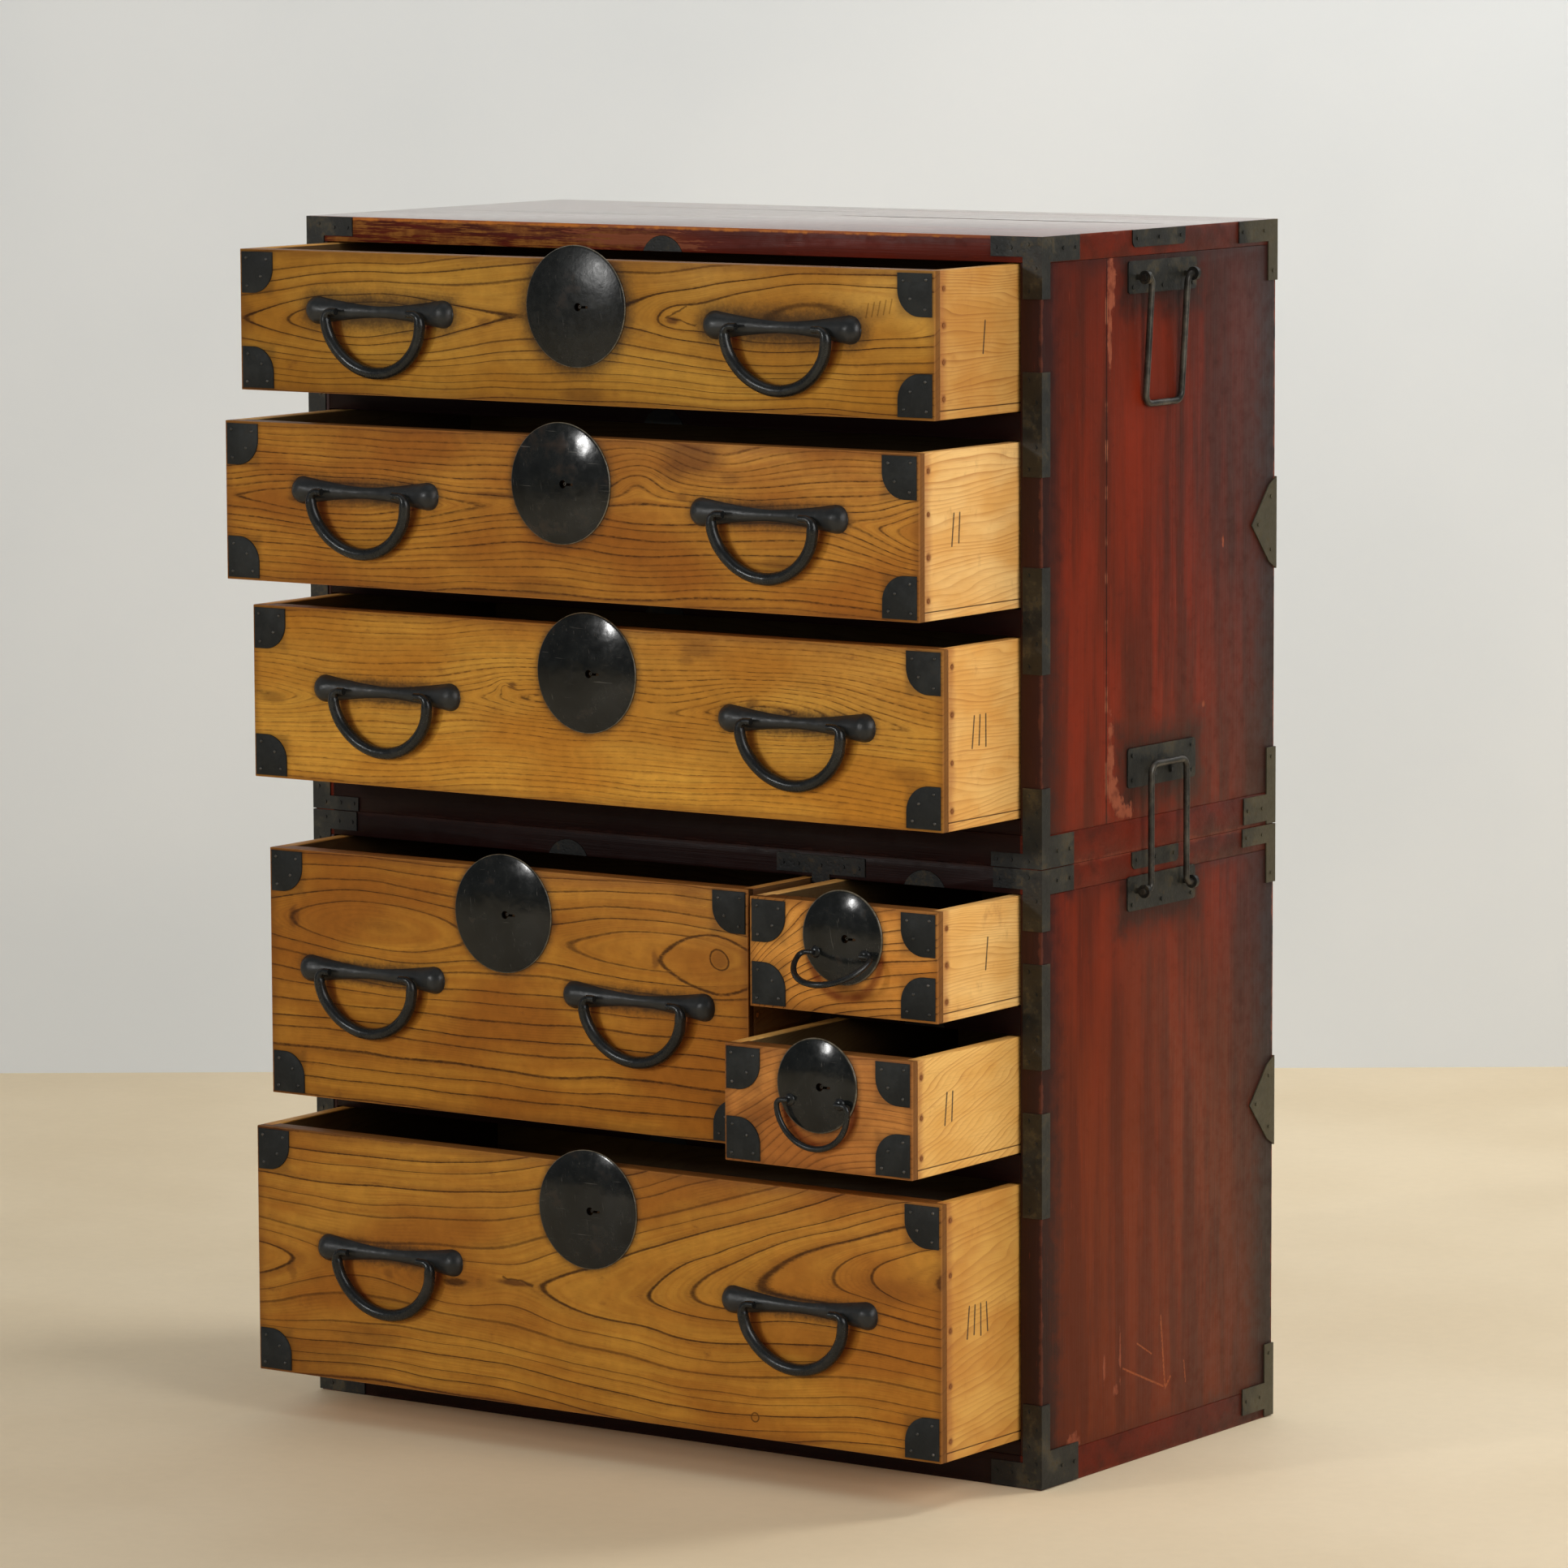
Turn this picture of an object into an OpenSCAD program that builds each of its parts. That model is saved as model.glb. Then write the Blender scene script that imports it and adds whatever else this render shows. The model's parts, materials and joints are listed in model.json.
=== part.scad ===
// Two-case stacking chest of drawers with iron fittings, seven drawers standing part way open.
// Frame: X to the right, the front faces -Y, Z up, origin at the centre of the base on the floor.

/* [Cases] */
// Width of both cases
case_w = 730; // [720:1:750]
// Depth of both cases, front to back
case_d = 355; // [350:1:370]
// Height of one case
case_h = 500; // [498:1:506]
// Thickness of the side boards
side_t = 20; // [18:1:22]
// Thickness of the top board of a case
top_t = 21; // [20:1:23]
// Thickness of the base board of a case
base_t = 26.5; // [24:0.5:28]
// Thickness of the back planks
back_t = 9; // [7:1:10]
// Depth of a front rail, front to back
rail_d = 38; // [34:1:42]
// Thickness of the shelf behind a front rail
shelf_t = 9; // [8:1:10]

/* [Drawers] */
// Height of a rail in the upper case
rail_u = 22; // [20:1:24]
// Height of a rail in the lower case
rail_l = 23; // [21:1:24]
// Height of the first drawer front
h1 = 116; // [112:1:118]
// Height of the second drawer front
h2 = 131; // [128:1:134]
// Height of the lowest drawer front
h7 = 207; // [202:1:209]
// Height of the upper small drawer front
h5 = 88; // [86:1:90]
// Width of the wide drawer beside the small drawers
w4 = 486.5; // [480:0.5:490]
// Thickness of the upright divider
div_t = 17; // [15:1:18]
// Clearance beside a drawer front
gap_x = 2; // [1.5:0.5:2.5]
// Clearance above and below a drawer front
gap_z = 1; // [0.8:0.1:1.2]
// Thickness of a drawer front
front_t = 18; // [17:1:20]
// Lip left in front of the drawer side
lip = 8; // [7:1:9]
// Thickness of a drawer side and back
wall_t = 10; // [8:1:10]
// Thickness of a drawer bottom
floor_t = 7; // [6:1:8]
// Length of a drawer, front to back
drawer_l = 330; // [310:1:332]
// How far each drawer stands open, first to seventh
pull = [118, 140, 107, 88.5, 115, 151, 110.5];

/* [Fittings] */
// Radius of a large lock plate
plate_r = 49; // [47:1:50]
// Radius of a small lock plate
plate_s = 38; // [36:1:39]
// How far a lock plate stands above its drawer front
plate_over = 11.5; // [10:0.5:12]
// Height of the dome of a lock plate
dome = 5; // [4:0.5:6]
// Half length of a handle bar
bar_l = 75; // [73:1:77]
// Half distance between the two eyes of a handle
eye_x = 40; // [39:0.5:41]
// Half width of a drawer bail on its centre line
bail_a = 48.3; // [47:0.1:49]
// Drop of a drawer bail on its centre line
bail_b = 50; // [49:0.5:52]
// Radius of a drawer bail's rod
bail_r = 4.8; // [4:0.1:5]
// Distance of a bail's axis from the drawer front
bail_y = 11.7; // [11.5:0.1:12.5]
// Half distance between the two eyes of a small drawer
ring_x = 25.5; // [25:0.5:26]
// Drop of a carrying bail on the side of a case
carry_l = 102; // [98:1:104]
// Thickness of the sheet iron
iron_t = 1.2; // [1:0.1:1.5]
// Travel of a lock bolt
throw = 8; // [6:0.5:8]

/* [Hidden] */
$fn = 48;
W2 = case_w/2; D2 = case_d/2; F = -D2; H = 2*case_h;
IN = W2 - side_t;
FY = F - 0.5;
strip_u = 12; strip_l = 11.5;
// front extents of the seven drawers
dl = -IN + gap_x; dr = IN - gap_x;
x4 = dl + w4; x5 = x4 + 2*gap_x + div_t;
dx0 = [dl, dl, dl, dl, x5, x5, dl];
dx1 = [dr, dr, dr, x4, dr, dr, dr];
t1 = H - top_t - gap_z; b1 = t1 - h1;
t2 = b1 - 2*gap_z - rail_u; b2 = t2 - h2;
t3 = b2 - 2*gap_z - rail_u; b3 = case_h + base_t + strip_u + gap_z;
b7 = base_t + strip_l + gap_z; t7 = b7 + h7;
b4 = t7 + 2*gap_z + rail_l; t4 = case_h - top_t - gap_z;
b5 = t4 - h5; t6 = b5 - 2*gap_z - rail_l;
dzb = [b1, b2, b3, b4, b5, b4, b7];
dzt = [t1, t2, t3, t4, t4, t6, t7];
small = [false, false, false, false, true, true, false];
// distance of each handle below the drawer's top edge, and of each bar's centre from the drawer's middle
hz = [48, 54, 65.5, 98.5, 39, 39, 96];
hl = [-198, -198, -203, -136, 0, 0, -203];
hr = [200, 202, 205, 136, 0, 0, 208];
pegs = [4, 4, 4, 5, 3, 3, 5];
ring_tilt = [0, 0, 0, 0, 58, -6, 0];
function xc(i) = (dx0[i] + dx1[i])/2;
function pr(i) = small[i] ? plate_s : plate_r;
function zc(i) = dzt[i] + plate_over - pr(i);
function hzz(i) = dzt[i] - hz[i];
// pivot distances of the bails
ring_y = 9; ring_a = 33.6; ring_b = 37.6; ring_r = 2.4;
carry_y = 9.5; carry_a = 27; carry_eye = 36.5; carry_r = 2.7; carry_c = -2;
up_z = 962; lo_z = 468;
lean = asin((bail_y - bail_r - 0.6)/bail_b);
carry_lean = asin((carry_y - carry_r - 0.6)/carry_l);
wood_red = [0.42, 0.13, 0.08]; wood_gold = [0.72, 0.47, 0.2]; wood_brown = [0.62, 0.36, 0.16];
wood_pale = [0.86, 0.74, 0.5]; wood_raw = [0.6, 0.45, 0.28]; iron = [0.16, 0.17, 0.17]; iron_old = [0.3, 0.29, 0.24]; brass = [0.55, 0.5, 0.38];

// ---- general shapes ----
module bx(x0, x1, y0, y1, z0, z1) translate([x0, y0, z0]) cube([x1 - x0, y1 - y0, z1 - z0]);
// a cylinder along Y between y0 and y1
module cy(x, z, r, y0, y1) translate([x, y1, z]) rotate([90, 0, 0]) cylinder(r = r, h = y1 - y0);
// a cylinder along X between x0 and x1
module cx(x0, x1, y, z, r) translate([x0, y, z]) rotate([0, 90, 0]) cylinder(r = r, h = x1 - x0);
// a flat shape drawn in X and Z, set on the plane y = yf and thick towards -Y
module on_front(yf, t) translate([0, yf, 0]) rotate([90, 0, 0]) linear_extrude(t) children();
// a flat shape drawn in Y and Z, set on the plane x = xf and thick towards +X
module on_side(xf, t) translate([xf, 0, 0]) rotate([90, 0, 90]) linear_extrude(t) children();
// round nail heads at listed points of a flat shape
module heads(pts, r = 1.5, h = 0.8) for (p = pts) translate([p[0], p[1], 0]) cylinder(r = r, h = h, $fn = 16);
// piece of a ring in the XZ plane, about (x, z), from angle a0 to a1
module arc(x, z, R, r, a0, a1) translate([x, 0, z]) rotate([90, 0, 0]) rotate([0, 0, a0]) rotate_extrude(angle = a1 - a0) translate([R, 0]) circle(r, $fn = 32);

// ---- cases ----
// side board standing on the base board
module side_board(z0) {
  color(wood_red) difference() {
    bx(IN, W2, F, D2, z0 + base_t, z0 + case_h - top_t);
    zz = z0 > 0 ? up_z : lo_z;
    for (s = [-1, 1]) bx(W2 - 17, W2 + 1, carry_c + s*carry_eye - 2.4, carry_c + s*carry_eye + 2.4, zz - 2.4, zz + 2.4);
  }
}
// half round recess and plate above a lock, lower edge at z
module half_round(x, z, g, yb, yf) intersection() {
  on_front(yb, yb - yf) translate([x, z + 13 - 20.97]) circle(20.97 + g, $fn = 64);
  bx(x - 25, x + 25, yf - 1, yb + 1, z + (g > 0 ? -1 : 0.3), z + 20);
}
// slot that takes the end of a lock bolt
module mortise(i) bx(xc(i) - 11.5, xc(i) + 5.5, FY + lip + 0.2, FY + lip + 7.4, dzt[i] + gap_z - 1, dzt[i] + gap_z + 10);
module keeper(i) { mortise(i); half_round(xc(i), dzt[i] + gap_z, 0.3, F + 1.5, F - 1); }
module top_board(z1, list) color(wood_red) difference() {
  bx(-W2, W2, F, D2, z1 - top_t, z1);
  for (i = list) keeper(i);
}
module base_board(z0) color(wood_red) bx(-W2, W2, F, D2, z0, z0 + base_t);
// three planks let in between the side boards
module back_planks(z0) {
  n = 3; hh = (case_h - base_t - top_t)/n;
  color(wood_raw) for (k = [0:n - 1]) bx(-IN, IN, D2 - back_t, D2, z0 + base_t + k*hh + (k ? 0.3 : 0), z0 + base_t + (k + 1)*hh);
}
// front rail with the shelf behind it
module rail(x0, x1, z0, z1) {
  bx(x0, x1, F, F + rail_d, z0, z1);
  bx(x0, x1, F + rail_d + 0.3, D2 - back_t, z1 - shelf_t, z1);
}
module strip(z0, h) {
  bx(-IN, IN, F, F + rail_d, z0, z0 + h);
  for (s = [-1, 1]) bx(s > 0 ? IN - 30 : -IN, s > 0 ? IN : -IN + 30, F + rail_d + 0.3, D2 - back_t, z0, z0 + h);
}

module upper_side_right() side_board(case_h);
module upper_side_left() mirror([1, 0, 0]) side_board(case_h);
module upper_top() top_board(H, [0]);
module upper_base() base_board(case_h);
module upper_back() back_planks(case_h);
module upper_rails() color(wood_red) difference() {
  union() {
    rail(-IN, IN, t2 + gap_z, b1 - gap_z);
    rail(-IN, IN, t3 + gap_z, b2 - gap_z);
    strip(case_h + base_t, strip_u);
  }
  keeper(1); keeper(2);
}
module lower_side_right() side_board(0);
module lower_side_left() mirror([1, 0, 0]) side_board(0);
module lower_top() top_board(case_h, [3, 4]);
module lower_base() base_board(0);
module lower_back() back_planks(0);
module lower_rails() color(wood_red) difference() {
  union() {
    rail(-IN, IN, t7 + gap_z, b4 - gap_z);
    rail(x5 - gap_x + 0.3, IN, t6 + gap_z, b5 - gap_z);
    strip(base_t, strip_l);
    bx(x4 + gap_x, x5 - gap_x, F, D2 - back_t, b4 - gap_z + 0.2, t4 + gap_z);
  }
  keeper(5); keeper(6);
}

// ---- irons on the cases ----
// upright strap wrapping the front corner, right hand side
module strap(z0, z1, wf = 17, ws = 11) {
  bx(W2 - wf, W2 + iron_t, F - iron_t, F, z0, z1);
  bx(W2, W2 + iron_t, F - iron_t, F + ws, z0, z1);
  n = z1 - z0 > 60 ? 5 : 3;
  on_front(F - iron_t, 0.8) for (k = [0:n - 1]) translate([W2 - wf/2 + (k % 2 ? 3.5 : -3.5), z0 + 6 + k*(z1 - z0 - 12)/(n - 1)]) circle(1.5, $fn = 16);
}
// corner iron at the top (d = -1) or bottom (d = 1) of a case's front, right hand side
module corner(z, d, hv, hf, hs, wf, ws) {
  za = min(z, z + d*hv); zb = max(z, z + d*hv);
  strap(za, zb, 17, 11);
  bx(W2 - wf, W2 + iron_t, F - iron_t, F, min(z, z + d*hf), max(z, z + d*hf));
  bx(W2, W2 + iron_t, F - iron_t, F + ws, min(z, z + d*hs), max(z, z + d*hs));
  on_front(F - iron_t, 0.8) for (x = [W2 - wf + 5, W2 - wf + 19]) translate([x, z + d*hf*0.55]) circle(1.5, $fn = 16);
  on_side(W2 + iron_t, 0.8) for (y = [F + ws - 6, F + ws - 24]) translate([y, z + d*hs*0.5]) circle(1.5, $fn = 16);
}
// iron at the back corner, right hand side: block and narrow leg
module back_corner(z, d, hv, zb0, zb1, wy) {
  bx(W2, W2 + iron_t, D2 - 13, D2 + iron_t, min(z, z + d*hv), max(z, z + d*hv));
  bx(W2, W2 + iron_t, D2 - wy, D2 + iron_t, zb0, zb1);
  bx(W2 - 16, W2 + iron_t, D2, D2 + iron_t, min(z, z + d*hv), max(z, z + d*hv));
  on_side(W2 + iron_t, 0.8) for (p = [[D2 - wy + 6, (zb0 + zb1)/2], [D2 - 20, (zb0 + zb1)/2], [D2 - 6, z + d*hv - d*8]]) translate(p) circle(1.5, $fn = 16);
}
// half diamond at the back edge, right hand side
module half_diamond(z0, z1) {
  on_side(W2, iron_t) polygon([[D2 + iron_t, z0], [D2 + iron_t, z1], [D2 - 10, z1 - 6], [D2 - 38, (z0 + z1)/2], [D2 - 10, z0 + 6]]);
  bx(W2 - 14, W2 + iron_t, D2, D2 + iron_t, z0, z1);
  on_side(W2 + iron_t, 0.8) for (p = [[D2 - 28, (z0 + z1)/2], [D2 - 8, z0 + 16], [D2 - 8, z1 - 16]]) translate(p) circle(1.5, $fn = 16);
}
// flat strap over the top edge of a case, right hand side
module edge_strap(y0, y1, z1, drop) {
  on_side(W2, iron_t) union() {
    translate([y0, z1 - drop + 5]) square([y1 - y0, drop - 5]);
    translate([y0 + 5, z1 - drop]) square([y1 - y0 - 10, drop]);
    for (y = [y0 + 5, y1 - 5]) translate([y, z1 - drop + 5]) circle(5);
  }
  on_side(W2 + iron_t, 0.8) for (y = [y0 + 7, (y0 + y1)/2, y1 - 7]) translate([y, z1 - drop*0.5]) circle(1.5, $fn = 16);
}
module both_sides() { children(); mirror([1, 0, 0]) children(); }
module upper_irons() color(iron) {
  both_sides() {
    corner(H - 0.2, -1, 49, 16, 20, 47, 54);
    strap(811, 893.5);
    strap(655, 739.5);
    corner(case_h + 0.4, 1, 64, 11.5, 25.5, 47, 46);
    back_corner(H - 0.2, -1, 50, 982, H - 0.2, 59);
    back_corner(case_h + 0.4, 1, 63.5, 503, 525, 49);
    half_diamond(712, 788);
    edge_strap(-44.8, 35, H - 0.2, 14);
  }
  for (i = [0:2]) half_round(xc(i), dzt[i] + gap_z, 0, F + 1.4, F - 0.3);
}
module lower_irons() color(iron) {
  both_sides() {
    corner(case_h - 0.4, -1, 49, 16, 20, 45, 46);
    strap(220, 304.5);
    corner(1, 1, 68, 20, 30, 47, 53);
    back_corner(case_h - 0.4, -1, 48.5, 484.6, case_h - 0.4, 51);
    back_corner(1, 1, 61, 7.7, 29.7, 48);
    half_diamond(230, 305);
    edge_strap(-44.6, 26, case_h - 0.4, 14);
  }
  strap(339.7, 424.2);
  // tee over the head of the divider
  xm = (x4 + x5)/2;
  bx(xm - 43, xm + 43, F - iron_t, F, 482, 497);
  bx(xm - div_t/2, xm + div_t/2, F - iron_t, F, 421, 497);
  on_front(F - iron_t, 0.8) for (p = [[-37, 489], [-22, 489], [22, 489], [37, 489], [0, 489], [0, 455], [0, 430]]) translate([xm + p[0], p[1]]) circle(1.5, $fn = 16);
  for (i = [3:6]) half_round(xc(i), dzt[i] + gap_z, 0, F + 1.4, F - 0.3);
}

// ---- carrying handles ----
// staple with an eye for the bail, right hand side, at y and z
module staple(y, z) {
  difference() {
    translate([W2 + carry_y, y, z]) rotate([90, 0, 0]) cylinder(r = 5.4, h = 4, center = true);
    translate([W2 + carry_y, y, z]) rotate([90, 0, 0]) cylinder(r = 3.05, h = 6, center = true);
  }
  bx(W2 - 16, W2 + carry_y - 3.6, y - 2, y + 2, z - 2, z + 2);
}
module plate_shape(y0, y1, z0, z1) union() {
  translate([y0 + 3, z0]) square([y1 - y0 - 6, z1 - z0]);
  translate([y0, z0 + 3]) square([y1 - y0, z1 - z0 - 6]);
  for (y = [y0 + 3, y1 - 3], z = [z0 + 3, z1 - 3]) translate([y, z]) circle(3, $fn = 24);
}
module handle_plate(z, z0, z1) {
  on_side(W2, 1.5) plate_shape(-51.5, 51.5, z0, z1);
  for (s = [-1, 1]) staple(carry_c + s*carry_eye, z);
  on_side(W2 + 1.5, 0.9) for (y = [-45, 0, 45]) translate([y, z0 + 5]) circle(1.7, $fn = 16);
}
// plate of the upper case with two short claws behind the stored bail of the lower case
module claw_plate() {
  on_side(W2, 1.5) plate_shape(-51.5, 51.5, 552, 584);
  on_side(W2 + 1.5, 0.9) for (y = [-45, 45], z = [558, 578]) translate([y, z]) circle(1.7, $fn = 16);
  for (y = [-14, 12]) {
    translate([W2 + 1, y, 563]) rotate([0, 90, 0]) cylinder(r = 2.4, h = 3);
    translate([W2 + 3.6, y, 559.6]) cylinder(r = 1.9, h = 4.4);
  }
}
module upper_handle_plates() color(iron_old) both_sides() { handle_plate(up_z, 949, 975); claw_plate(); }
module lower_handle_plates() color(iron_old) both_sides() handle_plate(lo_z, 452, 480);

// rod bail of a carrying handle, hanging, its axis along Y through the origin
module carry_bail() rotate([0, 0, 90]) {
  c = 8; rb = 6; rs = carry_r;
  for (s = [-1, 1]) {
    cx(s > 0 ? carry_a + rb : -carry_eye - 4.5, s > 0 ? carry_eye + 4.5 : -carry_a - rb, 0, 0, rs);
    arc(s*(carry_a + rb), -rb, rb, rs, s > 0 ? 90 : 0, s > 0 ? 180 : 90);
    translate([s*carry_a, 0, -carry_l + c]) cylinder(r = rs, h = carry_l - c - rb);
    arc(s*(carry_a - c), -carry_l + c, c, rs, s > 0 ? -90 : 180, s > 0 ? 0 : 270);
  }
  cx(-carry_a + c, carry_a - c, 0, -carry_l, rs);
}
module upper_bail_right() color(iron_old) translate([W2 + carry_y, carry_c, up_z]) rotate([0, carry_lean, 0]) carry_bail();
module upper_bail_left() mirror([1, 0, 0]) upper_bail_right();
module lower_bail_right() color(iron_old) translate([W2 + carry_y, carry_c, lo_z]) rotate([0, 180, 0]) carry_bail();
module lower_bail_left() mirror([1, 0, 0]) lower_bail_right();

// ---- drawers ----
lock_w = [28, 28, 28, 28, 19, 19, 28];
function eyes(i) = small[i] ? [-ring_x, ring_x] : [hl[i] - eye_x, hl[i] + eye_x, hr[i] - eye_x, hr[i] + eye_x];
function peg_z(i, k) = dzb[i] + 16 + k*(dzt[i] - dzb[i] - 30)/(pegs[i] - 1);
module out(i) translate([0, -pull[i], 0]) children();
module peg_row(i, r, x0, x1) for (k = [0:pegs[i] - 1], s = [0, 1])
  cx(s ? dx1[i] - x1 : dx0[i] - x0, s ? dx1[i] + x0 : dx0[i] + x1, FY + lip + 5, peg_z(i, k), r, $fn = 24);

// front board, rabbeted at its ends and lower edge
module drawer_front(i) out(i) color(i < 3 ? wood_gold : wood_brown) difference() {
  bx(dx0[i], dx1[i], FY, FY + front_t, dzb[i], dzt[i]);
  bx(dx0[i] - 1, dx0[i] + wall_t, FY + lip, FY + front_t + 1, dzb[i] - 1, dzt[i] + 1);
  bx(dx1[i] - wall_t, dx1[i] + 1, FY + lip, FY + front_t + 1, dzb[i] - 1, dzt[i] + 1);
  bx(dx0[i] - 1, dx1[i] + 1, FY + lip, FY + front_t + 1, dzb[i] - 1, dzb[i] + floor_t);
  bx(xc(i) - lock_w[i] - 0.5, xc(i) + lock_w[i] + 0.5, FY + 6, FY + front_t + 1, zc(i) - 18.5, zc(i) + 18.5);
  bx(xc(i) - 11.3, xc(i) + 5.3, FY + lip + 0.4, FY + lip + 7.2, zc(i) + 18, dzt[i] + 1);
  cy(xc(i) + 6, zc(i), 3.2, FY - 1, FY + 7);
  for (x = eyes(i)) bx(xc(i) + x - 2.3, xc(i) + x + 2.3, FY - 1, FY + front_t + 1, hzz(i) - 2.3, hzz(i) + 2.3);
  peg_row(i, 2, -wall_t + 1, wall_t + 8.3);
}
// two sides, back and bottom
module drawer_box(i) out(i) color(wood_pale) {
  ya = FY + lip; yb = FY + drawer_l;
  difference() {
    union() {
      bx(dx0[i], dx0[i] + wall_t, ya, yb, dzb[i] + floor_t + 0.05, dzt[i]);
      bx(dx1[i] - wall_t, dx1[i], ya, yb, dzb[i] + floor_t + 0.05, dzt[i]);
    }
    peg_row(i, 2, 1, wall_t + 1);
  }
  bx(dx0[i], dx1[i], ya, yb, dzb[i], dzb[i] + floor_t);
  bx(dx0[i] + wall_t + 0.05, dx1[i] - wall_t - 0.05, yb - wall_t, yb, dzb[i] + floor_t + 0.05, dzt[i] - 8);
}
// domed lock plate with its keyhole
module lock_plate(R) difference() {
  n = 9;
  rotate([90, 0, 0]) rotate_extrude($fn = 96) polygon(concat(
    [[0, dome - 0.2], [0, 1.5 + dome]],
    [for (k = [1:n]) [R*k/n, 1.5 + dome*(1 - pow(k/n, 2.4))]],
    [[R, 0], [R - 1.5, 0]],
    [for (k = [n - 1:-1:1]) [(R - 1.5)*k/n, (dome - 0.2)*(1 - pow(k/n, 2.4))]]));
  cy(6, 0, 2.3, -dome - 4, 1);
  bx(6, 12, -dome - 4, 1, -1, 1);
}
module lock_case(i) {
  w = lock_w[i];
  difference() {
    bx(-w, w, FY + 6.3, FY + front_t + 0.3, -18, 18);
    bx(-11, 5, FY + lip + 0.7, FY + lip + 6.9, -12, 19);
  }
  cy(6, 0, 1.2, FY - 2.5, FY + 6.8, $fn = 24);
}
// corner iron of a drawer front, its square corner at the origin, reaching to +X and +Z
module drawer_corner() {
  on_front(FY, iron_t) union() {
    square([10, 34]); square([32, 10]);
    translate([10, 10]) intersection() { scale(1) circle(24, $fn = 48); square([22, 24]); }
  }
  on_front(FY - iron_t, 0.8) for (p = [[5, 5], [26, 6], [6, 28], [20, 20]]) translate(p) circle(1.2, $fn = 16);
}
function bar_rad(x) = let (u = min(1, max(0, (abs(x) - 22)/(bar_l - 34))), s = u*u*(3 - 2*u))
  abs(x) > bar_l - 12 ? 12*sqrt(max(0, 1 - pow((abs(x) - bar_l + 12)/12, 2))) : 7.4 + 4.6*s;
// half round handle bar with a bulb at each end
module handle_bar() difference() {
  xs = [for (x = [-bar_l + 12:7:bar_l - 12]) x];
  ends = [for (a = [80:-20:20]) bar_l - 12 + 12*sin(a)];
  translate([0, FY + 3.2, 0]) rotate([0, 90, 0]) rotate_extrude() polygon(concat(
    [[0, -bar_l]], [for (e = ends) [bar_rad(e), -e]], [for (x = xs) [bar_rad(x), x]], [for (k = [len(ends) - 1:-1:0]) [bar_rad(ends[k]), ends[k]]], [[0, bar_l]]));
  bx(-bar_l - 1, bar_l + 1, FY, FY + 20, -20, 20);
}
// split pin: eye in front, legs clinched behind the front board
module split_pin(yo, r0, r1, w, stop) {
  difference() {
    cx(-w/2, w/2, FY - yo, 0, r0);
    cx(-w/2 - 1, w/2 + 1, FY - yo, 0, r1);
  }
  bx(-2, 2, FY - yo + r1 + 0.5, FY + front_t, -2, 2);
  bx(-1.8, 1.8, FY + front_t, FY + front_t + 1.6, -12, 12);
}
module drawer_fittings(i) out(i) color(iron) {
  translate([xc(i), FY, zc(i)]) lock_plate(pr(i));
  translate([xc(i), 0, zc(i)]) lock_case(i);
  for (s = [-1, 1], t = [-1, 1])
    translate([s > 0 ? dx1[i] - 2 : dx0[i] + 2, 0, t > 0 ? dzt[i] - 2 : dzb[i] + 2]) mirror([s > 0 ? 1 : 0, 0, 0]) mirror([0, 0, t > 0 ? 1 : 0]) drawer_corner();
  if (small[i]) for (x = eyes(i)) translate([xc(i) + x, 0, hzz(i)]) {
    split_pin(ring_y, 4.9, 2.8, 4, 0);
  } else for (h = [hl[i], hr[i]]) translate([xc(i) + h, 0, hzz(i)]) {
    handle_bar();
    for (s = [-1, 1]) translate([s*eye_x, 0, 0]) split_pin(bail_y, 6.2, 3.55, 4.4, 0);
  }
  color([0.2, 0.12, 0.08]) peg_row(i, 1.75, 0.3, wall_t + 8);
}
// bolt that rises into the rail above
module drawer_bolt(i) out(i) color(brass) difference() {
  bx(xc(i) - 10, xc(i) + 4, FY + lip + 1.1, FY + lip + 6.5, zc(i) - 8, dzt[i] - 0.8);
  bx(xc(i) - 2, xc(i) + 5, FY + lip, FY + lip + 8, zc(i) - 4, zc(i) + 2);
}

// ---- bails of the drawers ----
// bail with its axis along X through the origin, hanging: half width a, drop b, side arc of radius r1, rod radius r, end radius re, end bend rb, inner tip at xt
module bail(a, b, r1, r, re, rb, xt) {
  dx = a - r1; B = b - rb; R2 = (dx*dx + B*B - r1*r1)/(2*(B - r1)); an = atan2(B - R2, dx); st = 0.12; g = 1.5;
  arc(0, -b + R2, R2, r, -180 - an, an);
  for (s = [-1, 1]) {
    arc(s*dx, -rb, r1, r - st, s > 0 ? an - g : 180, s > 0 ? 0 : 180 - an + g);
    arc(s*(a - rb), -rb, rb, re, s > 0 ? -6 : 90, s > 0 ? 90 : 186);
    cx(s > 0 ? xt : -(a - rb + 0.6), s > 0 ? a - rb + 0.6 : -xt, 0, 0, re - st);
  }
}
module drawer_bail(i, h) out(i) color(iron) translate([xc(i) + h, FY - bail_y, hzz(i)]) rotate([lean, 0, 0]) bail(bail_a, bail_b, 38, bail_r, 3.2, 6.3, 36.4);
module drawer_ring(i) out(i) color(iron) translate([xc(i), FY - ring_y, hzz(i)]) rotate([-ring_tilt[i], 0, 0]) bail(ring_a, ring_b, 26, ring_r, ring_r - 0.2, 5, 22.2);

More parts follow.
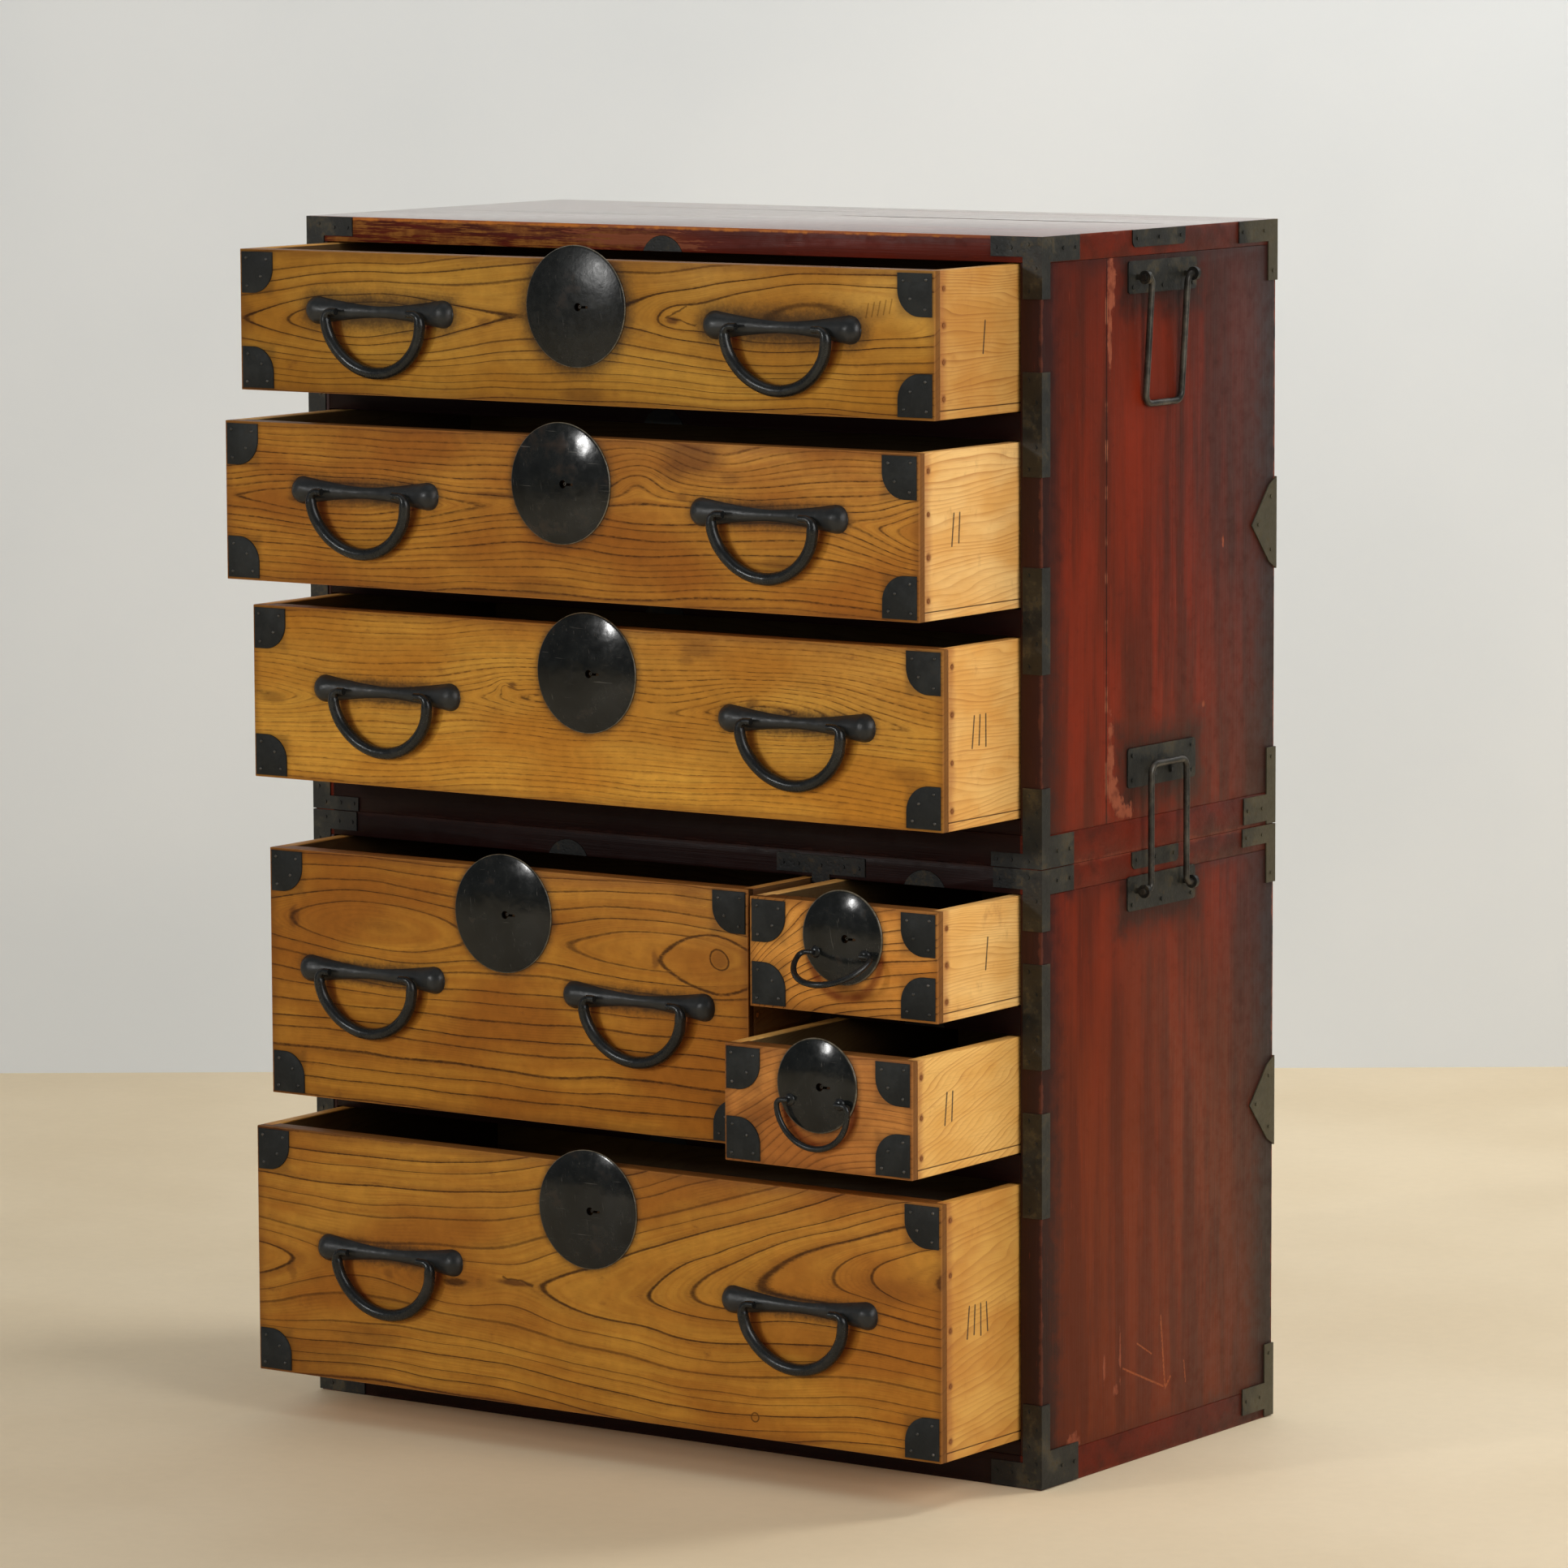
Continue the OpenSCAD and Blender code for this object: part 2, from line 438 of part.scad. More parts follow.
module drawer1_front() drawer_front(0);
module drawer1_box() drawer_box(0);
module drawer1_fittings() drawer_fittings(0);
module drawer1_bolt() drawer_bolt(0);
module drawer1_bail_left() drawer_bail(0, hl[0]);
module drawer1_bail_right() drawer_bail(0, hr[0]);
module drawer2_front() drawer_front(1);
module drawer2_box() drawer_box(1);
module drawer2_fittings() drawer_fittings(1);
module drawer2_bolt() drawer_bolt(1);
module drawer2_bail_left() drawer_bail(1, hl[1]);
module drawer2_bail_right() drawer_bail(1, hr[1]);
module drawer3_front() drawer_front(2);
module drawer3_box() drawer_box(2);
module drawer3_fittings() drawer_fittings(2);
module drawer3_bolt() drawer_bolt(2);
module drawer3_bail_left() drawer_bail(2, hl[2]);
module drawer3_bail_right() drawer_bail(2, hr[2]);
module drawer4_front() drawer_front(3);
module drawer4_box() drawer_box(3);
module drawer4_fittings() drawer_fittings(3);
module drawer4_bolt() drawer_bolt(3);
module drawer4_bail_left() drawer_bail(3, hl[3]);
module drawer4_bail_right() drawer_bail(3, hr[3]);
module drawer5_front() drawer_front(4);
module drawer5_box() drawer_box(4);
module drawer5_fittings() drawer_fittings(4);
module drawer5_bolt() drawer_bolt(4);
module drawer5_ring() drawer_ring(4);
module drawer6_front() drawer_front(5);
module drawer6_box() drawer_box(5);
module drawer6_fittings() drawer_fittings(5);
module drawer6_bolt() drawer_bolt(5);
module drawer6_ring() drawer_ring(5);
module drawer7_front() drawer_front(6);
module drawer7_box() drawer_box(6);
module drawer7_fittings() drawer_fittings(6);
module drawer7_bolt() drawer_bolt(6);
module drawer7_bail_left() drawer_bail(6, hl[6]);
module drawer7_bail_right() drawer_bail(6, hr[6]);

upper_side_left();
upper_side_right();
upper_top();
upper_base();
upper_back();
upper_rails();
upper_irons();
upper_handle_plates();
lower_side_left();
lower_side_right();
lower_top();
lower_base();
lower_back();
lower_rails();
lower_irons();
lower_handle_plates();
drawer1_front();
drawer1_box();
drawer1_fittings();
drawer1_bolt();
drawer1_bail_left();
drawer1_bail_right();
drawer2_front();
drawer2_box();
drawer2_fittings();
drawer2_bolt();
drawer2_bail_left();
drawer2_bail_right();
drawer3_front();
drawer3_box();
drawer3_fittings();
drawer3_bolt();
drawer3_bail_left();
drawer3_bail_right();
drawer4_front();
drawer4_box();
drawer4_fittings();
drawer4_bolt();
drawer4_bail_left();
drawer4_bail_right();
drawer5_front();
drawer5_box();
drawer5_fittings();
drawer5_bolt();
drawer5_ring();
drawer6_front();
drawer6_box();
drawer6_fittings();
drawer6_bolt();
drawer6_ring();
drawer7_front();
drawer7_box();
drawer7_fittings();
drawer7_bolt();
drawer7_bail_left();
drawer7_bail_right();
upper_bail_left();
upper_bail_right();
lower_bail_left();
lower_bail_right();
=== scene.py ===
import json
import math

import bmesh
import bpy
from mathutils import Matrix, Vector, noise

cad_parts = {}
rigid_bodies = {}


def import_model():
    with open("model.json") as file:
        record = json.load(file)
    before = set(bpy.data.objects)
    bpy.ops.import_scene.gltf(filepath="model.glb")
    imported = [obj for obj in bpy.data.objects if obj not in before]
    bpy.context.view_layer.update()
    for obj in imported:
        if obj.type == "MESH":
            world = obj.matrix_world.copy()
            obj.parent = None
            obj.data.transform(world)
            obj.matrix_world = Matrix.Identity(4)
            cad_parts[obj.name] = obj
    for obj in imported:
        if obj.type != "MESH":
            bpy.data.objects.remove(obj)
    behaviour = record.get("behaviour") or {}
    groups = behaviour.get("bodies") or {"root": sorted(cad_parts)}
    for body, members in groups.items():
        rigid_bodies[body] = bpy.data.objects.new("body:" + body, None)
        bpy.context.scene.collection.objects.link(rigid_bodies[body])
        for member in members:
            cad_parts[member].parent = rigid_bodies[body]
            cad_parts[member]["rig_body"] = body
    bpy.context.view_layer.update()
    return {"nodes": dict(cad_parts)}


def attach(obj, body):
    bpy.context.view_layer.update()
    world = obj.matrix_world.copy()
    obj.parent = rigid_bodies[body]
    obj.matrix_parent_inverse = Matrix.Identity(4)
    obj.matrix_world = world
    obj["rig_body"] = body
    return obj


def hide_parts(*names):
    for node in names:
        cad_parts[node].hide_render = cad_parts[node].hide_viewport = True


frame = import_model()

NODES = frame["nodes"]
MM = 0.001

# ---------------------------------------------------------------- sizes, in mm
W2, D2, F, H, CASE_H = 365.0, 177.5, -177.5, 1000.0, 500.0
IN = 345.0
FY = F - 0.5
PULL = [118, 140, 107, 88.5, 115, 151, 110.5]
DX0 = [-343, -343, -343, -343, 164.5, 164.5, -343]
DX1 = [343, 343, 343, 143.5, 343, 343, 343]
DZT = [978, 838, 683, 478, 478, 365, 246]
DZB = [862, 707, 539.5, 271, 390, 271, 39]
SMALL = [False, False, False, False, True, True, False]
HZ = [48, 54, 65.5, 98.5, 39, 39, 96]
HL = [-198, -198, -203, -136, 0, 0, -203]
HR = [200, 202, 205, 136, 0, 0, 208]
PEGS = [4, 4, 4, 5, 3, 3, 5]
RING_TILT = [0, 0, 0, 0, 58, -6, 0]
XC = [(a + b) / 2 for a, b in zip(DX0, DX1)]
PR = [38.0 if s else 49.0 for s in SMALL]
ZC = [t + 11.5 - r for t, r in zip(DZT, PR)]
HZZ = [t - h for t, h in zip(DZT, HZ)]
DOME = 5.0
BAIL_Y, BAIL_R, BAIL_A, BAIL_B = 11.7, 4.8, 48.3, 50.0
RING_Y, RING_A, RING_B, RING_R = 9.0, 33.6, 37.6, 2.4
CARRY_Y, CARRY_A, CARRY_EYE, CARRY_R, CARRY_C, CARRY_L = 9.5, 27.0, 36.5, 2.7, -2.0, 102.0
UP_Z, LO_Z = 962.0, 468.0
LEAN = math.asin((BAIL_Y - BAIL_R - 0.6) / BAIL_B)
CARRY_LEAN = math.asin((CARRY_Y - CARRY_R - 0.6) / CARRY_L)


# ---------------------------------------------------------------- node helper
def lin(r, g, b):
    """A colour given as 0-255 screen numbers, as Blender's linear values."""
    out = []
    for c in (r, g, b):
        c = c / 255.0
        out.append(c / 12.92 if c <= 0.04045 else ((c + 0.055) / 1.055) ** 2.4)
    return (out[0], out[1], out[2], 1.0)


class Val:
    """A number that varies over a surface: wraps a node's output."""

    def __init__(self, net, sock):
        self.net, self.sock = net, sock

    def __add__(self, o):
        return self.net.op("ADD", self, o)

    __radd__ = __add__

    def __sub__(self, o):
        return self.net.op("SUBTRACT", self, o)

    def __rsub__(self, o):
        return self.net.op("SUBTRACT", o, self)

    def __mul__(self, o):
        return self.net.op("MULTIPLY", self, o)

    __rmul__ = __mul__

    def __truediv__(self, o):
        return self.net.op("DIVIDE", self, o)

    def __rtruediv__(self, o):
        return self.net.op("DIVIDE", o, self)

    def __neg__(self):
        return self.net.op("MULTIPLY", self, -1.0)


class Net:
    """Builds one material's nodes from plain expressions."""

    def __init__(self, name):
        self.mat = bpy.data.materials.new(name)
        self.mat.use_nodes = True
        self.tree = self.mat.node_tree
        self.tree.nodes.clear()
        self.coords = self.tree.nodes.new("ShaderNodeTexCoord")
        self.geo = None

    def link(self, sock, value):
        if isinstance(value, Val):
            self.tree.links.new(value.sock, sock)
        elif isinstance(value, bpy.types.NodeSocket):
            self.tree.links.new(value, sock)
        else:
            sock.default_value = value

    def op(self, kind, a, b=None, c=None, clamp=False):
        nd = self.tree.nodes.new("ShaderNodeMath")
        nd.operation = kind
        nd.use_clamp = clamp
        for k, v in enumerate((a, b, c)):
            if v is not None:
                self.link(nd.inputs[k], v if isinstance(v, Val) else float(v))
        return Val(self, nd.outputs[0])

    def exp(self, a):
        return self.op("EXPONENT", a)

    def sqrt(self, a):
        return self.op("SQRT", a)

    def floor(self, a):
        return self.op("FLOOR", a)

    def fract(self, a):
        return self.op("FRACT", a)

    def abs(self, a):
        return self.op("ABSOLUTE", a)

    def min(self, a, b):
        return self.op("MINIMUM", a, b)

    def max(self, a, b):
        return self.op("MAXIMUM", a, b)

    def power(self, a, b):
        return self.op("POWER", a, b)

    def clamp(self, a):
        return self.op("ADD", a, 0.0, clamp=True)

    def smooth(self, v, lo, hi, a=0.0, b=1.0):
        """a below lo, b above hi, with a smooth step between."""
        nd = self.tree.nodes.new("ShaderNodeMapRange")
        nd.interpolation_type = "SMOOTHSTEP"
        self.link(nd.inputs["Value"], v)
        if lo > hi:
            lo, hi, a, b = hi, lo, b, a
        nd.inputs["From Min"].default_value = lo
        nd.inputs["From Max"].default_value = hi
        nd.inputs["To Min"].default_value = a
        nd.inputs["To Max"].default_value = b
        return Val(self, nd.outputs["Result"])

    def xyz(self):
        """The place on the object, in mm."""
        s = self.tree.nodes.new("ShaderNodeSeparateXYZ")
        self.tree.links.new(self.coords.outputs["Object"], s.inputs[0])
        return [Val(self, s.outputs[k]) * 1000.0 for k in range(3)]

    def normal(self):
        s = self.tree.nodes.new("ShaderNodeSeparateXYZ")
        self.tree.links.new(self.coords.outputs["Normal"], s.inputs[0])
        return [Val(self, s.outputs[k]) for k in range(3)]

    def vec(self, x, y, z):
        c = self.tree.nodes.new("ShaderNodeCombineXYZ")
        for k, v in enumerate((x, y, z)):
            self.link(c.inputs[k], v if isinstance(v, Val) else float(v))
        return c.outputs[0]

    def noise(self, x, y, z, detail=2.0, rough=0.5, dist=0.0, kind=None):
        nd = self.tree.nodes.new("ShaderNodeTexNoise")
        nd.noise_dimensions = "3D"
        if kind:
            nd.noise_type = kind
        self.tree.links.new(self.vec(x, y, z), nd.inputs["Vector"])
        nd.inputs["Scale"].default_value = 1.0
        nd.inputs["Detail"].default_value = detail
        nd.inputs["Roughness"].default_value = rough
        nd.inputs["Distortion"].default_value = dist
        return Val(self, nd.outputs["Fac"])

    def cells(self, x, y, z, feature="F1", rand=1.0):
        nd = self.tree.nodes.new("ShaderNodeTexVoronoi")
        nd.feature = feature
        self.tree.links.new(self.vec(x, y, z), nd.inputs["Vector"])
        nd.inputs["Scale"].default_value = 1.0
        nd.inputs["Randomness"].default_value = rand
        return Val(self, nd.outputs["Distance"])

    def white(self, a):
        nd = self.tree.nodes.new("ShaderNodeTexWhiteNoise")
        nd.noise_dimensions = "1D"
        self.link(nd.inputs["W"], a)
        return Val(self, nd.outputs["Value"])

    def mix(self, fac, a, b, blend="MIX"):
        nd = self.tree.nodes.new("ShaderNodeMix")
        nd.data_type = "RGBA"
        nd.blend_type = blend
        nd.clamp_factor = True
        self.link(nd.inputs[0], fac if isinstance(fac, Val) else float(fac))
        self.link(nd.inputs[6], a)
        self.link(nd.inputs[7], b)
        return nd.outputs[2]

    def gray(self, v):
        c = self.tree.nodes.new("ShaderNodeCombineColor")
        for k in range(3):
            self.link(c.inputs[k], v)
        return c.outputs[0]

    def times(self, colour, v):
        """A colour made lighter or darker by a number."""
        return self.mix(1.0, colour, self.gray(v), "MULTIPLY")

    def bump(self, height, distance, strength=1.0, normal=None):
        nd = self.tree.nodes.new("ShaderNodeBump")
        nd.inputs["Strength"].default_value = strength
        nd.inputs["Distance"].default_value = distance * MM
        self.link(nd.inputs["Height"], height)
        if normal is not None:
            self.tree.links.new(normal, nd.inputs["Normal"])
        return nd.outputs[0]

    def done(self, colour, rough, normal=None, metallic=0.0, spec=0.5, coat=0.0, coat_rough=0.2):
        out = self.tree.nodes.new("ShaderNodeOutputMaterial")
        p = self.tree.nodes.new("ShaderNodeBsdfPrincipled")
        self.link(p.inputs["Base Color"], colour)
        self.link(p.inputs["Roughness"], rough)
        self.link(p.inputs["Metallic"], metallic)
        for key, v in (("Specular IOR Level", spec), ("Coat Weight", coat)):
            if isinstance(v, Val):
                self.link(p.inputs[key], v)
            else:
                p.inputs[key].default_value = v
        p.inputs["Coat Roughness"].default_value = coat_rough
        if normal is not None:
            self.tree.links.new(normal, p.inputs["Normal"])
        self.tree.links.new(p.outputs[0], out.inputs[0])
        return self.mat


# ---------------------------------------------------------------- grain of the seven fronts
# x runs from the left end, y down from the top edge, in mm. Growth rings lie where h is a whole number.
def gx(M, x, c, s, a):
    d = (x - c) * (1.0 / s)
    return M.exp(d * d * -1.0) * a


def g2(M, x, y, cx, cy, sx, sy, a):
    dx = (x - cx) * (1.0 / sx)
    dy = (y - cy) * (1.0 / sy)
    return M.exp((dx * dx + dy * dy) * -1.0) * a


def core(M, y, yc, c, a):
    d = y - yc
    return M.sqrt(d * d + c * c) * a


def rise(M, v, s):
    """0 far below, 1 far above, softly."""
    return 1.0 / (1.0 + M.exp(v * (-1.0 / s)))


def past(M, v, s):
    """How far v is past 0, with a soft start."""
    return (M.sqrt(v * v + s * s) + v) * 0.5


def ring1(M, x, y):
    yc = gx(M, x, 330, 100, -8.0) + gx(M, x, 600, 120, -8.0) + 55.0
    return (core(M, y, yc, 6.0, 0.080) + g2(M, x, y, 125, 57, 110, 34, -2.25) + g2(M, x, y, 560, 50, 120, 40, -2.1) + g2(M, x, y, 446, 46, 22, 16, -0.5)
            + past(M, y - 84.0, 8.0) * 0.075 + rise(M, 36.0 - y, 9.0) * (x * -0.0052) + 6.0)


def ring2(M, x, y):
    yc = gx(M, x, 560, 110, -8.0) + gx(M, x, 300, 90, -5.0) + 62.0
    return (core(M, y, yc, 4.0, 0.170) + g2(M, x, y, 120, 64, 100, 34, -2.1) + g2(M, x, y, 720, 60, 70, 44, -4.2) + g2(M, x, y, 425, 28, 28, 17, -2.7)
            + g2(M, x, y, 510, 20, 60, 26, 2.6) + g2(M, x, y, 340, 60, 80, 40, 0.8) + x * 0.0012 + 8.0)


def ring3(M, x, y):
    yc = gx(M, x, 300, 120, -12.0) + gx(M, x, 560, 140, -14.0) + 72.0
    return (core(M, y, yc, 3.0, 0.200) + g2(M, x, y, 310, 60, 62, 30, -3.4) + g2(M, x, y, 520, 58, 90, 30, -3.8) + g2(M, x, y, 0, 74, 60, 26, -2.6)
            + g2(M, x, y, 268, 52, 9, 5, -1.4) + x * 0.0016 + 8.0)


def ring4(M, x, y):
    yc = gx(M, x, 240, 70, 3.0) + 57.0
    return (core(M, y, yc, 14.0, 0.076) + g2(M, x, y, 112, 60, 90, 38, -1.80) + g2(M, x, y, 400, 58, 104, 40, -1.35)
            + 5.75)


def ring5(M, x, y):
    return y * 0.115 + M.exp(x * (-1.0 / 34.0)) * -6.5 + x * 0.016 + g2(M, x, y, 150, 70, 50, 14, -0.5) + 9.0


def ring6(M, x, y):
    dx = (x - 150.0) * 0.62
    dy = y - 140.0
    return M.sqrt(dx * dx + dy * dy) * 0.20 + g2(M, x, y, 80, 60, 40, 30, -0.8) + 3.0


def ring7(M, x, y):
    yc = gx(M, x, 640, 170, -30.0) + 110.0
    up = rise(M, yc - y, 12.0)
    reach = rise(M, x - 300.0, 26.0) * -1.45 + rise(M, x - 415.0, 20.0) * -0.95 + rise(M, x - 250.0, 50.0) * rise(M, 84.0 - y, 14.0) * -1.0 + past(M, x - 400.0, 60.0) * up * -0.0125 + g2(M, x, y, 712, 56, 110, 70, -1.9)
    return (core(M, y, yc, 9.0, 0.060) + g2(M, x, y, -14, 120, 62, 52, -1.5) + g2(M, x, y, 200, 116, 50, 26, -0.75) + reach
            + past(M, y - 160.0, 6.0) * 0.045 + past(M, 60.0 - y, 20.0) * 0.02 + 10.35)


RINGS = [ring1, ring2, ring3, ring4, ring5, ring6, ring7]
# how wide the dark line of a ring is, how strong, how uneven the spacing is, and how broken into dashes
LINE_W = [0.100, 0.15, 0.16, 0.088, 0.100, 0.13, 0.078]
LINE_A = [1.0, 0.90, 0.50, 0.95, 0.95, 0.45, 0.92]
NEAR = [0.0, 0.0, 0.50, 0.0, 0.0, 0.0, 0.0]
UNEVEN = [1.0, 0.5, 0.4, 0.7, 0.8, 0.4, 1.0]
DASH = [0.15, 0.60, 0.90, 0.30, 0.2, 0.3, 0.15]
LEAST = [0.50, 0.45, 0.45, 0.72, 0.60, 0.45, 0.50]
# light, middle and dark wood of each front
TONE = [
    (lin(176, 130, 50), lin(148, 99, 30), lin(100, 61, 20)),
    (lin(176, 122, 45), lin(142, 86, 28), lin(94, 52, 18)),
    (lin(192, 141, 55), lin(168, 111, 35), lin(110, 65, 23)),
    (lin(172, 118, 40), lin(142, 86, 25), lin(94, 55, 18)),
    (lin(216, 151, 70), lin(184, 116, 43), lin(104, 61, 28)),
    (lin(194, 130, 64), lin(163, 100, 45), lin(104, 60, 28)),
    (lin(176, 124, 45), lin(146, 90, 28), lin(98, 57, 20)),
]
# how far the dark stain spreads from the lock plate and from the bars, in mm
STAIN = [(19.0, 27.0), (10.0, 18.0), (9.0, 17.0), (9.0, 16.0), (8.0, 0.0), (8.0, 0.0), (8.0, 15.0)]
# knots, dark tips and blotches of each front: (x, y, half width, half height, strength)
BLOTS = [
    [(350, 108, 26, 7, 0.45), (436, 46, 9, 3.5, 0.75), (8, 58, 8, 16, 0.3), (252, 53, 9, 5, 0.45), (628, 34, 16, 9, 0.25)],
    [(470, 12, 34, 15, 0.55), (452, 24, 16, 10, 0.35), (508, 27, 12, 6, 0.3), (276, 50, 26, 3.6, 0.5), (325, 122, 40, 9, 0.35), (462, 43, 7, 5, 0.4), (560, 92, 26, 8, 0.35)],
    [(452, 12, 22, 9, 0.40), (440, 22, 10, 4, 0.35), (268, 52, 5, 3.5, 0.7), (20, 76, 16, 6, 0.4), (655, 100, 24, 8, 0.3), (505, 52, 8, 4, 0.45), (18, 120, 30, 16, 0.25)],
    [(26, 56, 5, 12, 0.55), (396, 64, 4, 9, 0.5), (290, 42, 10, 5, 0.35), (430, 10, 22, 8, 0.25)],
    [(96, 70, 30, 9, 0.45), (14, 12, 12, 10, 0.3)],
    [(30, 52, 20, 12, 0.35), (120, 58, 24, 14, 0.25)],
    [(266, 106, 20, 3.2, 0.8), (36, 118, 5, 12, 0.35), (137, 112, 7, 5, 0.4), (112, 168, 40, 12, 0.3), (640, 74, 40, 14, 0.30), (60, 190, 90, 16, 0.25)],
]
# long dark figure lines, as short runs of points in mm, with a half width
FIGURE = [
    [([(440, 46), (452, 41), (461, 33)], 0.8), ([(440, 46), (453, 48), (466, 51)], 0.8)],
    [],
    [],
    [],
    [],
    [],
    [([(252, 105), (270, 106), (284, 108)], 1.0)],
]



def segment(n, x, z, x0, z0, x1, z1):
    """Distance to a line from (x0, z0) to (x1, z1)."""
    ex, ez = x1 - x0, z1 - z0
    ll = ex * ex + ez * ez
    t = n.clamp(((x - x0) * (ex / ll)) + ((z - z0) * (ez / ll)))
    dx = x - x0 - t * ex
    dz = z - z0 - t * ez
    return n.sqrt(dx * dx + dz * dz)


def front_material(i):
    n = Net("zelkova_front_%d" % (i + 1))
    X, Y, Z = n.xyz()
    w, h = DX1[i] - DX0[i], DZT[i] - DZB[i]
    seed = 3.7 * i + 1.3
    x = X - DX0[i]
    d = Y - (FY - PULL[i])
    y = DZT[i] - Z + d * 0.55
    wob = n.noise(x * (1 / 120.0), y * (1 / 60.0), seed, 0.0, 0.5)
    wob2 = n.noise(x * (1 / 90.0), y * (1 / 34.0), seed + 9.0, 1.0, 0.35)
    x2 = x + (wob - 0.5) * 30.0
    y2 = y + (wob2 - 0.5) * 9.0
    ring = RINGS[i](n, x2, y2)
    ring = ring + n.op("SINE", ring * 2.3 + i) * (0.18 * UNEVEN[i]) + n.op("SINE", ring * 5.1 + 2 * i) * (0.05 * UNEVEN[i])
    fr = n.fract(ring)
    which = n.floor(ring + 0.5)
    force = n.white(which + seed)
    gap = n.min(fr, 1.0 - fr)
    tail = n.smooth(fr, 0.0, 0.40, 1.0, 0.0)
    lead = n.smooth(fr, 0.93, 1.0, 0.0, 1.0)
    ragged = n.noise(x * (1 / 3.2), y * (1 / 1.6), seed + 1.0, 2.0, 0.6)
    line = n.smooth(gap + (ragged - 0.5) * (LINE_W[i] * 0.8), LINE_W[i] * 0.15, LINE_W[i], 1.0, 0.0)
    broken = n.noise(x * (1 / 7.0), y2 * (1 / 2.2), seed + 2.0, 2.0, 0.5)
    whole = 1.0 - DASH[i]
    line = line * (force * (1.0 - LEAST[i]) + LEAST[i]) * n.smooth(broken, 0.36, 0.60, whole, 1.0)
    if NEAR[i]:
        line = line * (n.max(g2(n, x, y, 300, 56, 90, 24, NEAR[i]), g2(n, x, y, 520, 54, 150, 24, NEAR[i])) + LINE_A[i])
    else:
        line = line * LINE_A[i]
    shade = n.max(tail, lead) * (force * 0.6 + 0.25)
    # pores: short dark dashes along the grain
    pore = n.noise(x * (1 / 5.5), y2 * (1 / 0.55), seed + 5.0, 2.0, 0.6)
    pores = n.smooth(pore, 0.56, 0.72) * (shade * 0.8 + 0.35)
    streak = n.noise(x * (1 / 120.0), ring * 2.6, seed + 6.0, 3.0, 0.62)
    # fine ripples between the lines
    rip = n.fract(ring * 7.0)
    ripple = n.smooth(n.min(rip, 1.0 - rip), 0.05, 0.35, 1.0, 0.0) * n.smooth(n.noise(x * (1 / 46.0), y * (1 / 26.0), seed + 3.0, 1.0, 0.5), 0.42, 0.60)
    silk = n.noise(x * (1 / 9.0), y * (1 / 9.0), seed + 7.0, 2.0, 0.5)
    cloud = n.noise(x * (1 / 140.0), y * (1 / 60.0), seed + 8.0, 2.0, 0.5)
    light, mid, dark = TONE[i]
    c = n.mix(n.smooth(cloud, 0.32, 0.68), light, mid)
    c = n.mix(n.smooth(streak, 0.35, 0.70) * 0.60, c, mid)
    c = n.mix(shade * 0.42, c, dark)
    c = n.mix(pores * 0.62, c, dark)
    c = n.mix(ripple * 0.16, c, dark)
    for bx_, by_, sx_, sy_, amp in BLOTS[i]:
        q = g2(n, x + (streak - 0.5) * 16.0, y, bx_, by_, sx_, sy_, 1.0)
        c = n.mix(n.smooth(q + (ragged - 0.5) * 0.30, 0.22, 0.85) * amp, c, lin(74, 38, 16))
    bend = n.noise(x * (1 / 16.0), y * (1 / 16.0), seed + 14.0, 2.0, 0.5)
    for pts, hw in FIGURE[i]:
        q = None
        for (xa, ya), (xb, yb) in zip(pts, pts[1:]):
            sd = segment(n, x2 + (broken - 0.5) * 5.0, y2 + (bend - 0.5) * 7.0, xa, ya, xb, yb)
            q = sd if q is None else n.min(q, sd)
        line = n.max(line, n.smooth(q + (ragged - 0.5) * 1.4, hw * 0.2, hw * 1.6, 0.72, 0.0))
    if i == 3:
        # oval round the knot near the right end, and the knot itself
        ox, oy = n.abs(x2 - 448.0) * (1.0 / 54.0), n.abs(y2 - 63.0) * (1.0 / 23.0)
        q = n.power(n.power(ox, 1.6) + n.power(oy, 1.6), 1.0 / 1.6)
        line = line * n.smooth(q, 0.86, 1.02)
        ow = n.abs(q - 1.0) * 22.0 + (ragged - 0.5) * 1.2
        line = n.max(line, n.smooth(ow, 0.3, 1.5, 0.85, 0.0) * n.smooth(broken, 0.30, 0.5, 0.6, 1.0))
        kx, ky = (x2 - 454.0) * (1.0 / 10.0), (y2 - 59.0) * (1.0 / 8.0)
        kq = n.sqrt(kx * kx + ky * ky)
        line = n.max(line, n.smooth(n.abs(kq - 1.0) * 8.0 + (ragged - 0.5) * 1.0, 0.2, 1.1, 0.8, 0.0))
        c = n.mix(n.smooth(kq, 0.6, 1.1, 0.35, 0.0), c, dark)
    if i == 6:
        q = n.abs(n.sqrt((x - 507.0) * (x - 507.0) + (y - 190.0) * (y - 190.0)) - 3.6)
        line = n.max(line, n.smooth(q, 0.3, 0.9, 0.7, 0.0))
    if i == 0:
        for k in range(5):
            q = segment(n, x, y, 622 + 5.5 * k, 38 - k, 624.5 + 5.5 * k, 27 - k)
            line = n.max(line, n.smooth(q, 0.3, 0.9, 0.45, 0.0))
    c = n.mix(line, c, lin(48, 25, 8))
    c = n.times(c, n.smooth(silk, 0.25, 0.8, 0.92, 1.08))
    # painted light: these fronts are made brighter towards their right end, as if the light fell stronger there
    if i in (0, 1, 3, 6):
        c = n.times(c, n.smooth(x * (1.0 / w), 0.45, 0.95, 1.0, 1.13))
    if i == 2:
        c = n.times(c, n.smooth(y, 70.0, 120.0, 1.0, 1.14))
    # worn or blotched places
    blot = n.noise(x * (1 / 26.0), y * (1 / 14.0), seed + 11.0, 4.0, 0.62)
    c = n.mix(n.smooth(blot, 0.63, 0.82) * 0.5, c, lin(92, 50, 24))
